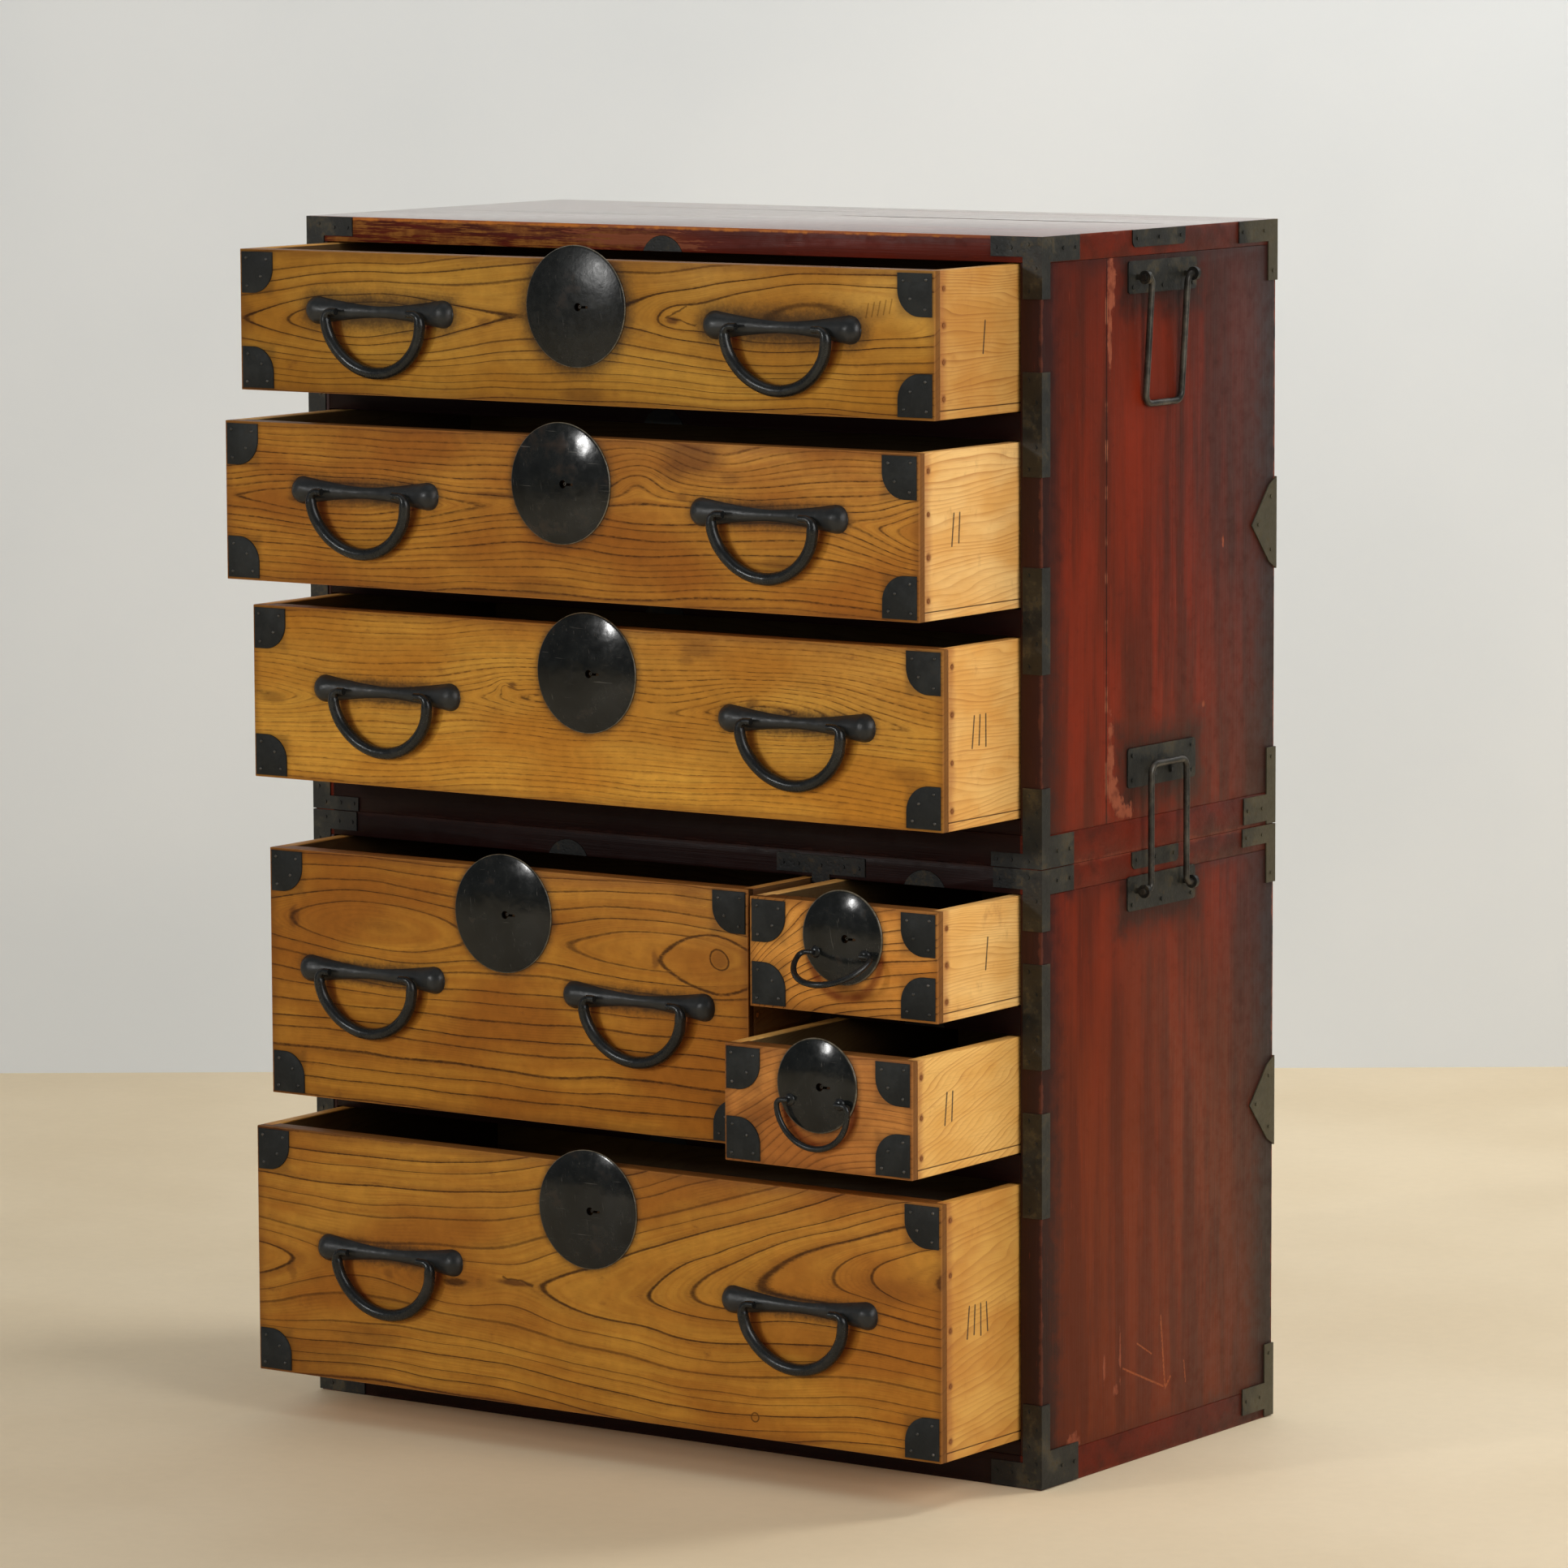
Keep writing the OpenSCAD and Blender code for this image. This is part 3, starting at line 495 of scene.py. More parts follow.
    # dark stain round the iron
    zz = Z
    rag = (n.noise(X * (1 / 9.0), zz * (1 / 9.0), seed + 12.0, 3.0, 0.6) - 0.5) * 7.0
    px, pz = X - XC[i], zz - ZC[i]
    pd = n.sqrt(px * px + pz * pz) - PR[i]
    rag2 = rag + (n.noise(X * (1 / 2.4), zz * (1 / 2.4), seed + 21.0, 2.0, 0.6) - 0.5) * 7.0
    on_plate, on_bar = STAIN[i]
    halo = n.power(n.smooth(pd + rag2 * (0.5 if on_plate < 15.0 else 1.0), -4.0, on_plate, 1.0, 0.0), 1.4) * 0.88
    if not SMALL[i]:
        for hx in (HL[i], HR[i]):
            bd = segment(n, X, zz, XC[i] + hx - 66, HZZ[i], XC[i] + hx + 66, HZZ[i])
            halo = n.max(halo, n.power(n.smooth(bd + rag2 * (0.8 if on_bar < 20.0 else 1.2), 4.0, on_bar, 1.0, 0.0), 1.3) * 0.88)
    cx_ = n.max(DX0[i] + 34.0 - X, X - (DX1[i] - 34.0))
    cz_ = n.max(DZB[i] + 36.0 - zz, zz - (DZT[i] - 36.0))
    halo = n.max(halo, n.smooth(n.min(cx_, cz_) + rag * 0.6, -5.0, 3.0, 0.0, 0.35))
    c = n.mix(halo, c, lin(40, 30, 22))
    # painted shadow: a reddish arc behind the lower half of each bail, where its shade falls on the wood
    if SMALL[i]:
        spots = [(XC[i], HZZ[i], 34.0, 36.0)]
    else:
        spots = [(XC[i] + hx, HZZ[i] - 4.0, 48.0, 46.0) for hx in (HL[i], HR[i])]
    bail_shadow = None
    for sx, sz, ra, rb in spots:
        ex, ez = (X - sx - 2.0) * (1.0 / ra), (zz - sz) * (1.0 / rb)
        q = n.abs(n.sqrt(ex * ex + ez * ez) - 1.0)
        m = n.smooth(q, 0.02, 0.17, 1.0, 0.0) * n.smooth(zz - sz, -2.0, 6.0, 1.0, 0.0)
        bail_shadow = m if bail_shadow is None else n.max(bail_shadow, m)
    c = n.mix(bail_shadow * n.smooth(rag, -2.5, 2.5, 0.45, 0.85), c, lin(96, 30, 8))
    # rubbed edges and grime along them
    e = n.min(n.min(X - DX0[i], DX1[i] - X), n.min(zz - DZB[i], DZT[i] - zz))
    c = n.mix(n.smooth(e + rag * 0.5, 0.5, 10.0, 0.40, 0.0), c, lin(88, 48, 22))
    c = n.mix(n.smooth(e + rag * 0.15, 0.1, 0.9, 0.40, 0.0), c, lin(166, 112, 60))
    # end grain and the inside of the board
    side = n.smooth(d + rag * 0.1, 0.8, 2.2)
    endg = n.noise(X * (1 / 30.0), d * (1 / 1.1), zz * (1 / 30.0), 2.0, 0.5)
    # painted shade: the right end of this front, beside the divider, is made nearly black as if in shadow
    if i == 3:
        c = n.mix(side * n.smooth(X, DX1[i] - 3.0, DX1[i] - 1.0) * 0.9, c, lin(30, 18, 10))
    c = n.mix(side * (0.0 if i == 3 else 0.70), c, n.mix(endg, lin(124, 80, 38), lin(84, 52, 25)))
    height = line * -0.9 - pores * 0.5 + silk * 0.25
    nrm = n.bump(height, 0.16)
    rough = n.smooth(cloud, 0.3, 0.7, 0.42, 0.56) + line * 0.15 + pores * 0.1
    return n.done(c, rough, nrm, spec=0.12)


# ---------------------------------------------------------------- pale softwood of the drawer boxes
BOX_TONE = [
    (lin(206, 158, 86), lin(190, 134, 62), lin(140, 80, 30)),
    (lin(240, 196, 126), lin(226, 170, 94), lin(176, 108, 46)),
    (lin(236, 188, 112), lin(222, 162, 82), lin(172, 104, 42)),
    (lin(206, 156, 86), lin(188, 132, 62), lin(140, 82, 32)),
    (lin(244, 200, 126), lin(230, 176, 98), lin(180, 114, 50)),
    (lin(236, 188, 108), lin(222, 166, 84), lin(178, 110, 46)),
    (lin(216, 164, 82), lin(200, 140, 62), lin(160, 92, 34)),
]


def box_material(i):
    n = Net("softwood_box_%d" % (i + 1))
    X, Y, Z = n.xyz()
    nx, ny, nz = n.normal()
    seed = 5.1 * i + 20.0
    flat = n.smooth(n.abs(nz), 0.6, 0.8)
    back = n.smooth(n.abs(ny), 0.6, 0.8)
    u = Y * (1.0 - back) + X * back
    v = Z * (1.0 - flat) + X * flat
    y0 = FY + 8.0 - PULL[i]
    along = u - y0
    wob = n.noise(u * (1 / 240.0), v * (1 / 46.0), seed, 2.0, 0.5)
    fine = n.noise(u * (1 / 50.0), v * (1 / 9.0), seed + 1.0, 2.0, 0.5)
    slope = [0.02, -0.05, 0.03, 0.0, 0.04, -0.32, -0.16][i]
    dens = [0.30, 0.22, 0.26, 0.25, 0.34, 0.24, 0.17][i]
    ring = (v + along * slope + (wob - 0.5) * 46.0 + (fine - 0.5) * 2.0) * dens
    fr = n.fract(ring)
    force = n.white(n.floor(ring + 0.5) + seed)
    lead = n.smooth(fr, 0.90, 1.0, 0.0, 1.0)
    late = n.max(n.smooth(fr, 0.0, 0.12, 1.0, 0.0), n.power(fr, 3.0) * 0.8) * (force * 0.7 + 0.3)
    fib = n.noise(u * (1 / 30.0), v * (1 / 0.8), seed + 3.0, 3.0, 0.6)
    cloud = n.noise(u * (1 / 70.0), v * (1 / 34.0), seed + 4.0, 3.0, 0.55)
    la, lb, lc = BOX_TONE[i]
    c = n.mix(n.smooth(cloud, 0.3, 0.7), la, lb)
    c = n.mix(late * 0.72, c, lc)
    c = n.mix(n.smooth(fib, 0.5, 0.8) * 0.35, c, lin(172, 112, 58))
    grime = n.noise(u * (1 / 22.0), v * (1 / 30.0), seed + 6.0, 4.0, 0.65)
    c = n.mix(n.smooth(grime, 0.58, 0.80) * 0.40, c, lin(150, 96, 56))
    # soiled strip behind the front board, and a darker foot where the bottom board meets it
    c = n.mix(n.smooth(Y - y0 + (grime - 0.5) * 14.0, 1.0, 12.0, 0.50, 0.0), c, lin(146, 78, 40))
    c = n.mix(n.smooth(n.abs(Z - (DZB[i] + 7.1)), 0.25, 0.8, 0.8, 0.0), c, lin(70, 40, 22))
    # stain round each peg
    step = (DZT[i] - DZB[i] - 30.0) / (PEGS[i] - 1)
    pk = (Z - (DZB[i] + 16.0)) * (1.0 / step)
    pz = (n.abs(n.fract(pk + 0.5) - 0.5)) * step
    py = Y - (FY + 13.0 - PULL[i])
    pd = n.sqrt(pz * pz + py * py)
    c = n.mix(n.smooth(pd + (grime - 0.5) * 5.0, 1.4, 4.5, 0.70, 0.0), c, lin(120, 62, 28))
    # plain strokes in ink on the sides
    strokes = [1, 2, 3, 0, 1, 2, 4][i]
    if strokes:
        cz = (DZB[i] + DZT[i]) / 2 + 4.0
        ink = None
        for k in range(strokes):
            ya = y0 + (62.0 if i in (0, 4) else 44.0) + k * 9.0 - (strokes - 1) * 4.5
            lean = 1.5 - 0.8 * k
            sd = segment(n, Y, Z, ya - lean, cz - 13.0 + (k % 2) * 2.0, ya + lean, cz + 12.0)
            m = n.smooth(sd + (fib - 0.5) * 1.0, 0.55, 1.25, 0.88, 0.0)
            ink = m if ink is None else n.max(ink, m)
        ink = ink * n.smooth(n.abs(nx), 0.6, 0.8)
        c = n.mix(ink, c, lin(46, 38, 34))
    if i == 3:
        # painted shade: the side that stands close to the divider is darkened as if in its shadow
        divider_shade = n.smooth(X, DX1[i] - 6.0, DX1[i] - 3.0) * n.smooth(n.abs(nx), 0.6, 0.8)
        c = n.mix(divider_shade * 0.86, c, n.mix(n.smooth(cloud, 0.3, 0.7), lin(62, 40, 20), lin(46, 28, 14)))
    # painted shade: the inside of the box is made nearly black, as the shade inside a drawer
    inner = n.smooth(n.abs(X - XC[i]), (DX1[i] - DX0[i]) / 2 - 9.5, (DX1[i] - DX0[i]) / 2 - 8.0, 1.0, 0.0) * n.smooth(Z, DZT[i] - 1.2, DZT[i] - 0.6, 1.0, 0.0)
    inner = inner * n.smooth(Z, DZB[i] + 3.0, DZB[i] + 4.0)
    c = n.mix(inner * 0.88, c, n.mix(n.smooth(cloud, 0.3, 0.7), lin(29, 18, 11), lin(18, 11, 7)))
    height = late * 0.7 + fib * 0.5
    nrm = n.bump(height, 0.14)
    rough = n.smooth(grime, 0.4, 0.8, 0.52, 0.68)
    return n.done(c, rough, nrm, spec=0.3)


# ---------------------------------------------------------------- red lacquer of the cases
def lacquer(name, run, gloss=False):
    """run is the axis that the grain follows: 'x', 'y' or 'z'."""
    n = Net(name)
    X, Y, Z = n.xyz()
    nx, ny, nz = n.normal()
    if run == "z":
        a, b, cc = Z, Y, X
    elif run == "x":
        a, b, cc = X, Z, Y
    else:
        a, b, cc = Y, Z, X
    cloud = n.noise(a * (1 / 160.0), b * (1 / 55.0), cc * (1 / 55.0), 3.0, 0.55)
    streak = n.noise(a * (1 / 210.0), b * (1 / 3.2), cc * (1 / 3.2), 4.0, 0.62)
    hair = n.noise(a * (1 / 60.0), b * (1 / 0.8), cc * (1 / 0.8), 2.0, 0.6)
    mott = n.noise(X * (1 / 13.0), Y * (1 / 13.0), Z * (1 / 13.0), 4.0, 0.62)
    broad = n.noise(a * (1 / 260.0), b * (1 / 24.0), cc * (1 / 24.0), 4.0, 0.58)
    c = n.mix(n.smooth(cloud, 0.30, 0.70), lin(120, 36, 16), lin(94, 32, 17))
    c = n.mix(n.smooth(broad, 0.42, 0.66) * 0.58, c, lin(60, 26, 16))
    c = n.mix(n.smooth(streak, 0.46, 0.76) * 0.28, c, lin(56, 25, 15))
    c = n.mix(n.smooth(hair, 0.55, 0.8) * 0.15, c, lin(128, 54, 34))
    c = n.mix(n.smooth(mott, 0.56, 0.80) * 0.40, c, lin(50, 24, 19))
    worn = None
    if run == "z":
        # joint between the two boards of a side, and one board a little lighter
        seam = n.abs(Y + 82.0 + (n.noise(Z * (1 / 120.0), 3.0, 1.0, 1.0, 0.5) - 0.5) * 2.0)
        chips = n.noise(Z * (1 / 34.0), 8.0, 2.0, 3.0, 0.6)
        above = n.smooth(Z, 498.0, 502.0)
        c = n.mix(n.smooth(seam + (mott - 0.5) * 2.0, 0.9, 2.4, 0.85, 0.0) * n.smooth(chips, 0.50, 0.60) * above, c, lin(158, 96, 70))
        c = n.mix(n.smooth(seam, 0.4, 1.2, 0.85, 0.0) * above, c, lin(26, 10, 9))
        # browner towards the floor
        c = n.mix(n.smooth(Z + (broad - 0.5) * 100.0, 190.0, 560.0, 0.76, 0.0), c, n.mix(n.smooth(broad, 0.4, 0.6), lin(110, 48, 22), lin(92, 40, 21)))
        # the back third has gone dark, the top most of all
        deep = n.smooth(Y + (broad - 0.5) * 220.0 + n.smooth(Z, 480.0, 980.0) * 70.0, 0.0, 190.0)
        c = n.mix(deep * 0.66, c, lin(44, 25, 20))
        # dark stain near the irons at the edges
        ed = n.min(Y - F, D2 - Y)
        top = n.min(n.abs(Z - 499.0), n.min(n.abs(Z - 2.0), n.abs(Z - 998.0)))
        rag = (mott - 0.5) * 34.0 + (broad - 0.5) * 40.0
        c = n.mix(n.smooth(n.min(ed, top * 1.3) + rag, 4.0, 46.0, 0.88, 0.0), c, lin(36, 26, 25))
        c = n.mix(n.smooth(Z, 900.0, 990.0, 0.0, 0.35), c, lin(40, 22, 20))
        # stain under the carrying handles
        hd = n.abs(Y - CARRY_C)
        for zc, hh in ((962.0, 16.0), (568.0, 20.0), (466.0, 18.0)):
            q = n.max(n.abs(Z - zc) - hh, hd - 52.0)
            c = n.mix(n.smooth(q + rag * 1.1, -5.0, 24.0, 0.80, 0.0), c, lin(36, 24, 20))
        # places worn down to the wood
        patches = [(-74.0, 960.0, 8.0, 26.0), (-77.0, 915.0, 3.5, 30.0), (-76.0, 578.0, 5.0, 34.0), (-68.0, 548.0, 10.0, 16.0), (-56.0, 532.0, 14.0, 7.0), (-60.0, 92.0, 1.6, 30.0), (-66.0, 62.0, 4.0, 5.0), (-84.0, 80.0, 1.4, 16.0), (-128.0, 34.0, 9.0, 6.0),
                   (-118.0, 521.0, 44.0, 3.0), (66.0, 610.0, 2.0, 3.0), (96.0, 742.0, 1.6, 5.0)]
        for py, pz, sy, sz in patches:
            dy, dz = (Y - py) * (1.0 / sy), (Z - pz) * (1.0 / sz)
            q = n.sqrt(dy * dy + dz * dz) + (mott - 0.5) * 2.6 + (streak - 0.5) * 1.4
            m = n.smooth(q, 0.55, 1.0, 1.0, 0.0)
            worn = m if worn is None else n.max(worn, m)
        # two long scratches near the floor, and short ones beside them
        nick = n.noise(Y * (1 / 3.0), Z * (1 / 3.0), 4.0, 2.0, 0.6)
        cut = None
        for ya, za, yb, zb, w in ((-56.0, 79.0, 6.0, 54.0, 0.55), (2.0, 113.0, 9.0, 52.0, 0.75), (9.0, 52.0, 17.0, 60.0, 0.9), (-34.0, 96.0, -12.0, 84.0, 0.35), (38.0, 70.0, 41.0, 52.0, 0.4)):
            q = segment(n, Y + (nick - 0.5) * 2.2, Z, ya, za, yb, zb)
            m = n.smooth(q, w, w + 0.5, 1.0, 0.0) * n.smooth(nick, 0.34, 0.52, 0.35, 1.0)
            cut = m if cut is None else n.max(cut, m)
        c = n.mix(cut * 0.55, c, lin(176, 96, 54))
        bottom = n.smooth(Z, 2.0, 16.0, 1.0, 0.0) * n.smooth(mott, 0.45, 0.6)
        worn = n.max(worn, bottom * 0.7)
    # rubbed arrises
    ex = W2 - n.abs(X)
    ey = n.min(Y - F, D2 - Y)
    e1 = n.max(ex, ey)
    ez = n.min(n.abs(Z - 1000.0), n.min(n.abs(Z - 500.0), n.abs(Z)))
    e = n.min(e1, n.min(n.max(ez, ey), n.max(ez, ex)))
    rub = n.smooth(e + (mott - 0.5) * 9.0, 0.4, 2.6, 1.0, 0.0)
    rub = rub * n.smooth(Y, F + 4.0, F + 9.0, 0.25, 0.7) if run == "z" else rub * n.smooth(n.abs(X), W2 - 6.0, W2 - 2.0, 0.7, 0.25)
    worn = rub if worn is None else n.max(worn, rub)
    if run == "x":
        # the front edges of the boards are worn in long patches
        long_ = n.noise(X * (1 / 60.0), Z * (1 / 4.5), 5.0, 4.0, 0.70)
        fr = n.smooth(Y - F, 0.5, 3.0, 1.0, 0.0)
        ends = n.smooth(n.abs(nx), 0.6, 0.8)
        c = n.mix(ends * (n.smooth(Y + (broad - 0.5) * 160.0, 0.0, 150.0) * 0.35 + 0.35), c, lin(46, 23, 18))
        c = n.mix(fr * 0.45, c, lin(44, 12, 10))
        high = n.smooth(Z, 950.0, 975.0)
        fine = n.noise(X * (1 / 34.0), Z * (1 / 1.6), 9.0, 4.0, 0.70)
        left = n.smooth(X, -130.0, 60.0, 1.0, 0.0)
        ochre = fr * high * left * n.smooth(long_ * 0.5 + fine * 0.5, 0.46, 0.54)
        c = n.mix(ochre * 0.85, c, n.mix(n.smooth(mott, 0.4, 0.6), lin(150, 96, 40), lin(122, 70, 28)))
        # salmon ground laid bare round the half-round iron
        sal = n.max(n.abs(X + 24.0) * (1 / 72.0), n.abs(Z - 988.0) * (1 / 8.0)) + (long_ - 0.5) * 3.2 + (fine - 0.5) * 1.2
        c = n.mix(n.smooth(sal, 0.55, 0.75, 0.75, 0.0) * fr * high, c, n.mix(fine, lin(150, 84, 50), lin(118, 60, 36)))
        m2 = fr * n.smooth(long_, 0.64, 0.74) * 0.30
        worn = n.max(worn, m2)
        # the upper arris is worn to a warm line
        line = fr * high * n.smooth(Z + (mott - 0.5) * 5.0, 996.6, 998.6)
        c = n.mix(line * n.smooth(X, 200.0, 330.0, 0.9, 0.3), c, lin(196, 116, 44))
        # long cracks and joints in the top board
        ck = n.noise(X * (1 / 60.0), 2.0, 7.0, 3.0, 0.6)
        up = n.smooth(nz, 0.6, 0.8)
        crack = None
        for xa, ya, xb, yb, wide, much in ((12, 44, 340, 50, 3.4, 1.0), (-352, -30, 60, -26, 1.1, 0.6), (-240, 96, 20, 104, 1.5, 0.6), (80, -98, 352, -92, 0.9, 0.5), (-120, 150, 330, 147, 1.3, 0.5)):
            # narrow towards both ends, and never straight
            t = n.clamp((X - xa) * (1.0 / (xb - xa)))
            off = n.abs(Y + (ck - 0.5) * 9.0 + (mott - 0.5) * 2.0 - ya - t * (yb - ya))
            e4 = n.power(n.abs(t * 2.0 - 1.0), 4.0)
            half = (1.0 - e4) * (ck * 0.9 + 0.55) * wide
            m = n.smooth(off - half, -0.5, 0.35, much, 0.0) * n.smooth(half, 0.15, 0.5) * up
            crack = m if crack is None else n.max(crack, m)
            soil = n.smooth(off - half * 2.0, 0.0, 5.0, 0.30 * much, 0.0) * n.smooth(half, 0.15, 0.9) * up
            c = n.mix(soil, c, lin(52, 24, 18))
        c = n.mix(crack, c, lin(34, 14, 10))
    wood = n.mix(n.smooth(mott, 0.42, 0.66), lin(140, 76, 54), lin(108, 54, 38))
    wood = n.mix(n.smooth(hair, 0.45, 0.75) * 0.5, wood, lin(122, 54, 32))
    c = n.mix(worn, c, wood)
    # scratches
    sc = n.noise(a * (1 / 26.0), b * (1 / 1.1) + a * 0.03, cc * (1 / 1.1), 2.0, 0.5)
    c = n.mix(n.smooth(sc, 0.70, 0.76) * 0.35, c, lin(150, 66, 44))
    # plain wood where the case was never lacquered, painted nearly black as the shade inside the case
    inside = n.smooth(n.abs(X), IN - 0.5, IN + 0.5, 1.0, 0.0) * n.smooth(Y, F + 1.0, F + 24.0)
    inside = inside * n.smooth(Z, 997.0, 999.0, 1.0, 0.0)
    raw = n.mix(streak, lin(44, 27, 18), lin(26, 16, 11))
    c = n.mix(inside * 0.92, c, raw)
    # painted shade: the rails between the drawers, in the drawers' shadow, are made nearly black
    rails = n.smooth(n.abs(X), IN - 0.5, IN + 0.5, 1.0, 0.0) * n.smooth(Z, 975.0, 978.0, 1.0, 0.0)
    c = n.mix(rails * 0.94, c, lin(18, 9, 8))
    height = streak * 0.8 + hair * 0.35 - worn * 0.8
    nrm = n.bump(height, 0.20)
    if gloss:
        # dust and fine scuffs on the polished top
        dust = n.noise(X * (1 / 60.0), Y * (1 / 44.0), 3.0, 4.0, 0.65)
        c = n.mix(n.smooth(dust, 0.40, 0.75) * 0.40, c, lin(150, 112, 96))
        rough = n.smooth(mott, 0.3, 0.8, 0.14, 0.26) + worn * 0.2
        rough = rough + crack * 0.6
        return n.done(c, rough, n.bump(streak * 0.5 + hair * 0.15, 0.08), spec=(1.0 - crack) * 0.8, coat=(1.0 - crack) * 0.6, coat_rough=0.12)
    rough = n.smooth(mott, 0.3, 0.8, 0.36, 0.54) + worn * 0.25 + inside * 0.2
    return n.done(c, rough, nrm, spec=0.14)


def back_material():
    n = Net("raw_back_planks")
    X, Y, Z = n.xyz()
    k = n.floor((Z - 26.5) * (1.0 / 150.8))
    seed = n.white(k) * 40.0
    wob = n.noise(X * (1 / 260.0), Z * (1 / 40.0), seed, 2.0, 0.5)
    ring = (Z + (wob - 0.5) * 60.0) * 0.14
    fr = n.fract(ring)
    late = n.max(n.smooth(fr, 0.0, 0.12, 1.0, 0.0), n.power(fr, 3.0) * 0.8)
    fib = n.noise(X * (1 / 36.0), Z * (1 / 0.9), seed, 3.0, 0.6)
    cloud = n.noise(X * (1 / 90.0), Z * (1 / 60.0), seed, 3.0, 0.6)
    c = n.mix(n.smooth(cloud, 0.3, 0.7), lin(150, 108, 70), lin(116, 80, 52))
    c = n.mix(late * 0.5, c, lin(88, 56, 36))
    c = n.mix(n.smooth(fib, 0.5, 0.8) * 0.4, c, lin(74, 48, 32))
    drop = n.noise(X * (1 / 60.0), Z * (1 / 60.0), 11.0, 4.0, 0.7)
    c = n.mix(n.smooth(drop, 0.60, 0.74) * 0.4, c, lin(60, 42, 32))
    nrm = n.bump(late * 0.6 + fib * 0.7, 0.3)
    return n.done(c, 0.72, nrm, spec=0.3)


# ---------------------------------------------------------------- iron
def iron_material(name, base, light, rust, rust_amount, rough0, rough1, scale=1.0, metal=0.35, patch=0.5, bronze_and_gap_shade=False, spec=0.5, relief=0.22):
    n = Net(name)
    X, Y, Z = n.xyz()
    s = 1.0 / scale
    big = n.noise(X * (s / 26.0), Y * (s / 26.0), Z * (s / 26.0), 4.0, 0.62)
    mid = n.noise(X * (s / 5.0), Y * (s / 5.0), Z * (s / 5.0), 4.0, 0.65)
    small = n.noise(X * (s / 1.1), Y * (s / 1.1), Z * (s / 1.1), 2.0, 0.6)
    pits = n.cells(X * (s / 3.4), Y * (s / 3.4), Z * (s / 3.4))
    c = n.mix(n.smooth(big, 0.40, 0.70) * patch, base, light)
    c = n.mix(n.smooth(mid, 0.52, 0.78) * 0.35, c, light)
    c = n.mix(n.smooth(small, 0.62, 0.85) * 0.25, c, light)
    if bronze_and_gap_shade:
        c = n.mix(n.smooth(big * 0.6 + mid * 0.4, 0.50, 0.62) * 0.40, c, lin(84, 76, 56))
        # painted shade: irons on the rails between the drawers, inside the case, are made nearly black as if in the
        # drawers' shadow
        inner = n.smooth(n.abs(X), IN - 8.0, IN - 3.0, 1.0, 0.0) * n.smooth(Z, 975.0, 979.0, 1.0, 0.0)
        c = n.mix(inner * 0.75, c, lin(14, 15, 15))
        c = n.mix(n.smooth(Y + (big - 0.5) * 60.0, 110.0, 165.0) * 0.55, c, lin(92, 84, 62))
    r = n.smooth(mid * 0.6 + big * 0.4, 0.54, 0.66) * rust_amount
    c = n.mix(r, c, rust)
    height = mid * 0.8 + small * 0.18 + n.smooth(pits, 0.0, 0.5) * 0.3
    nrm = n.bump(height, relief)
    rough = n.smooth(mid, 0.3, 0.7, rough0, rough1) + r * 0.15
    return n.done(c, rough, nrm, metallic=metal, spec=spec)


def plate_material():
    """Blackened iron of the lock plates: rubbed bright at the rim, with fine scratches."""
    n = Net("iron_lock_plate")
    X, Y, Z = n.xyz()
    big = n.noise(X * (1 / 24.0), Y * (1 / 24.0), Z * (1 / 24.0), 4.0, 0.6)
    mid = n.noise(X * (1 / 6.0), Y * (1 / 6.0), Z * (1 / 6.0), 4.0, 0.65)
    small = n.noise(X * (1 / 1.3), Y * (1 / 1.3), Z * (1 / 1.3), 2.0, 0.6)
    scr = n.noise(X * (1 / 0.9) + Z * 0.18, Y * (1 / 0.9), Z * (1 / 24.0), 2.0, 0.5)
    scr2 = n.noise(X * (1 / 30.0) + Z * 0.3, Y * (1 / 30.0), Z * (1 / 0.9), 2.0, 0.5)
    c = n.mix(n.smooth(big, 0.36, 0.72), lin(15, 17, 17), lin(27, 29, 29))
    c = n.mix(n.smooth(mid, 0.55, 0.80) * 0.20, c, lin(50, 48, 44))
    s = n.max(n.smooth(scr, 0.70, 0.76), n.smooth(scr2, 0.71, 0.77)) * 0.35
    c = n.mix(s, c, lin(120, 116, 110))
    c = n.mix(n.smooth(big, 0.58, 0.74) * 0.30, c, lin(64, 46, 32))
    # the rim is rubbed bright
    nx, ny, nz = n.normal()
    rim = n.smooth(n.abs(ny), 0.80, 0.955, 1.0, 0.0)
    c = n.mix(rim * n.smooth(mid, 0.35, 0.6, 0.35, 0.85), c, lin(112, 104, 88))
    grain = n.noise(X * (1 / 2.6), Y * (1 / 2.6), Z * (1 / 2.6), 1.0, 0.5)
    leather = n.smooth(Z, 860.0, 880.0, 0.16, 0.55)
    height = grain * leather + small * 0.06 + big * 0.4
    nrm = n.bump(height, 0.10)
    rough = n.smooth(mid, 0.3, 0.7, 0.13, 0.18) + n.smooth(Z, 860.0, 880.0, 0.0, 0.12)
    return n.done(c, rough, nrm, spec=0.32)


def peg_material():
    n = Net("peg_wood")
    X, Y, Z = n.xyz()
    q = n.noise(X * 0.8, Y * 0.8, Z * 0.8, 3.0, 0.6)
    c = n.mix(q, lin(158, 98, 48), lin(96, 54, 24))
    return n.done(c, 0.6, n.bump(q, 0.1), spec=0.3)


def brass_material():
    n = Net("bolt_brass")
    X, Y, Z = n.xyz()
    q = n.noise(X * 0.25, Y * 0.25, Z * 0.05, 4.0, 0.6)
    c = n.mix(n.smooth(q, 0.35, 0.7), lin(150, 118, 62), lin(84, 66, 40))
    return n.done(c, n.smooth(q, 0.3, 0.7, 0.35, 0.55), n.bump(q, 0.1), metallic=0.85)


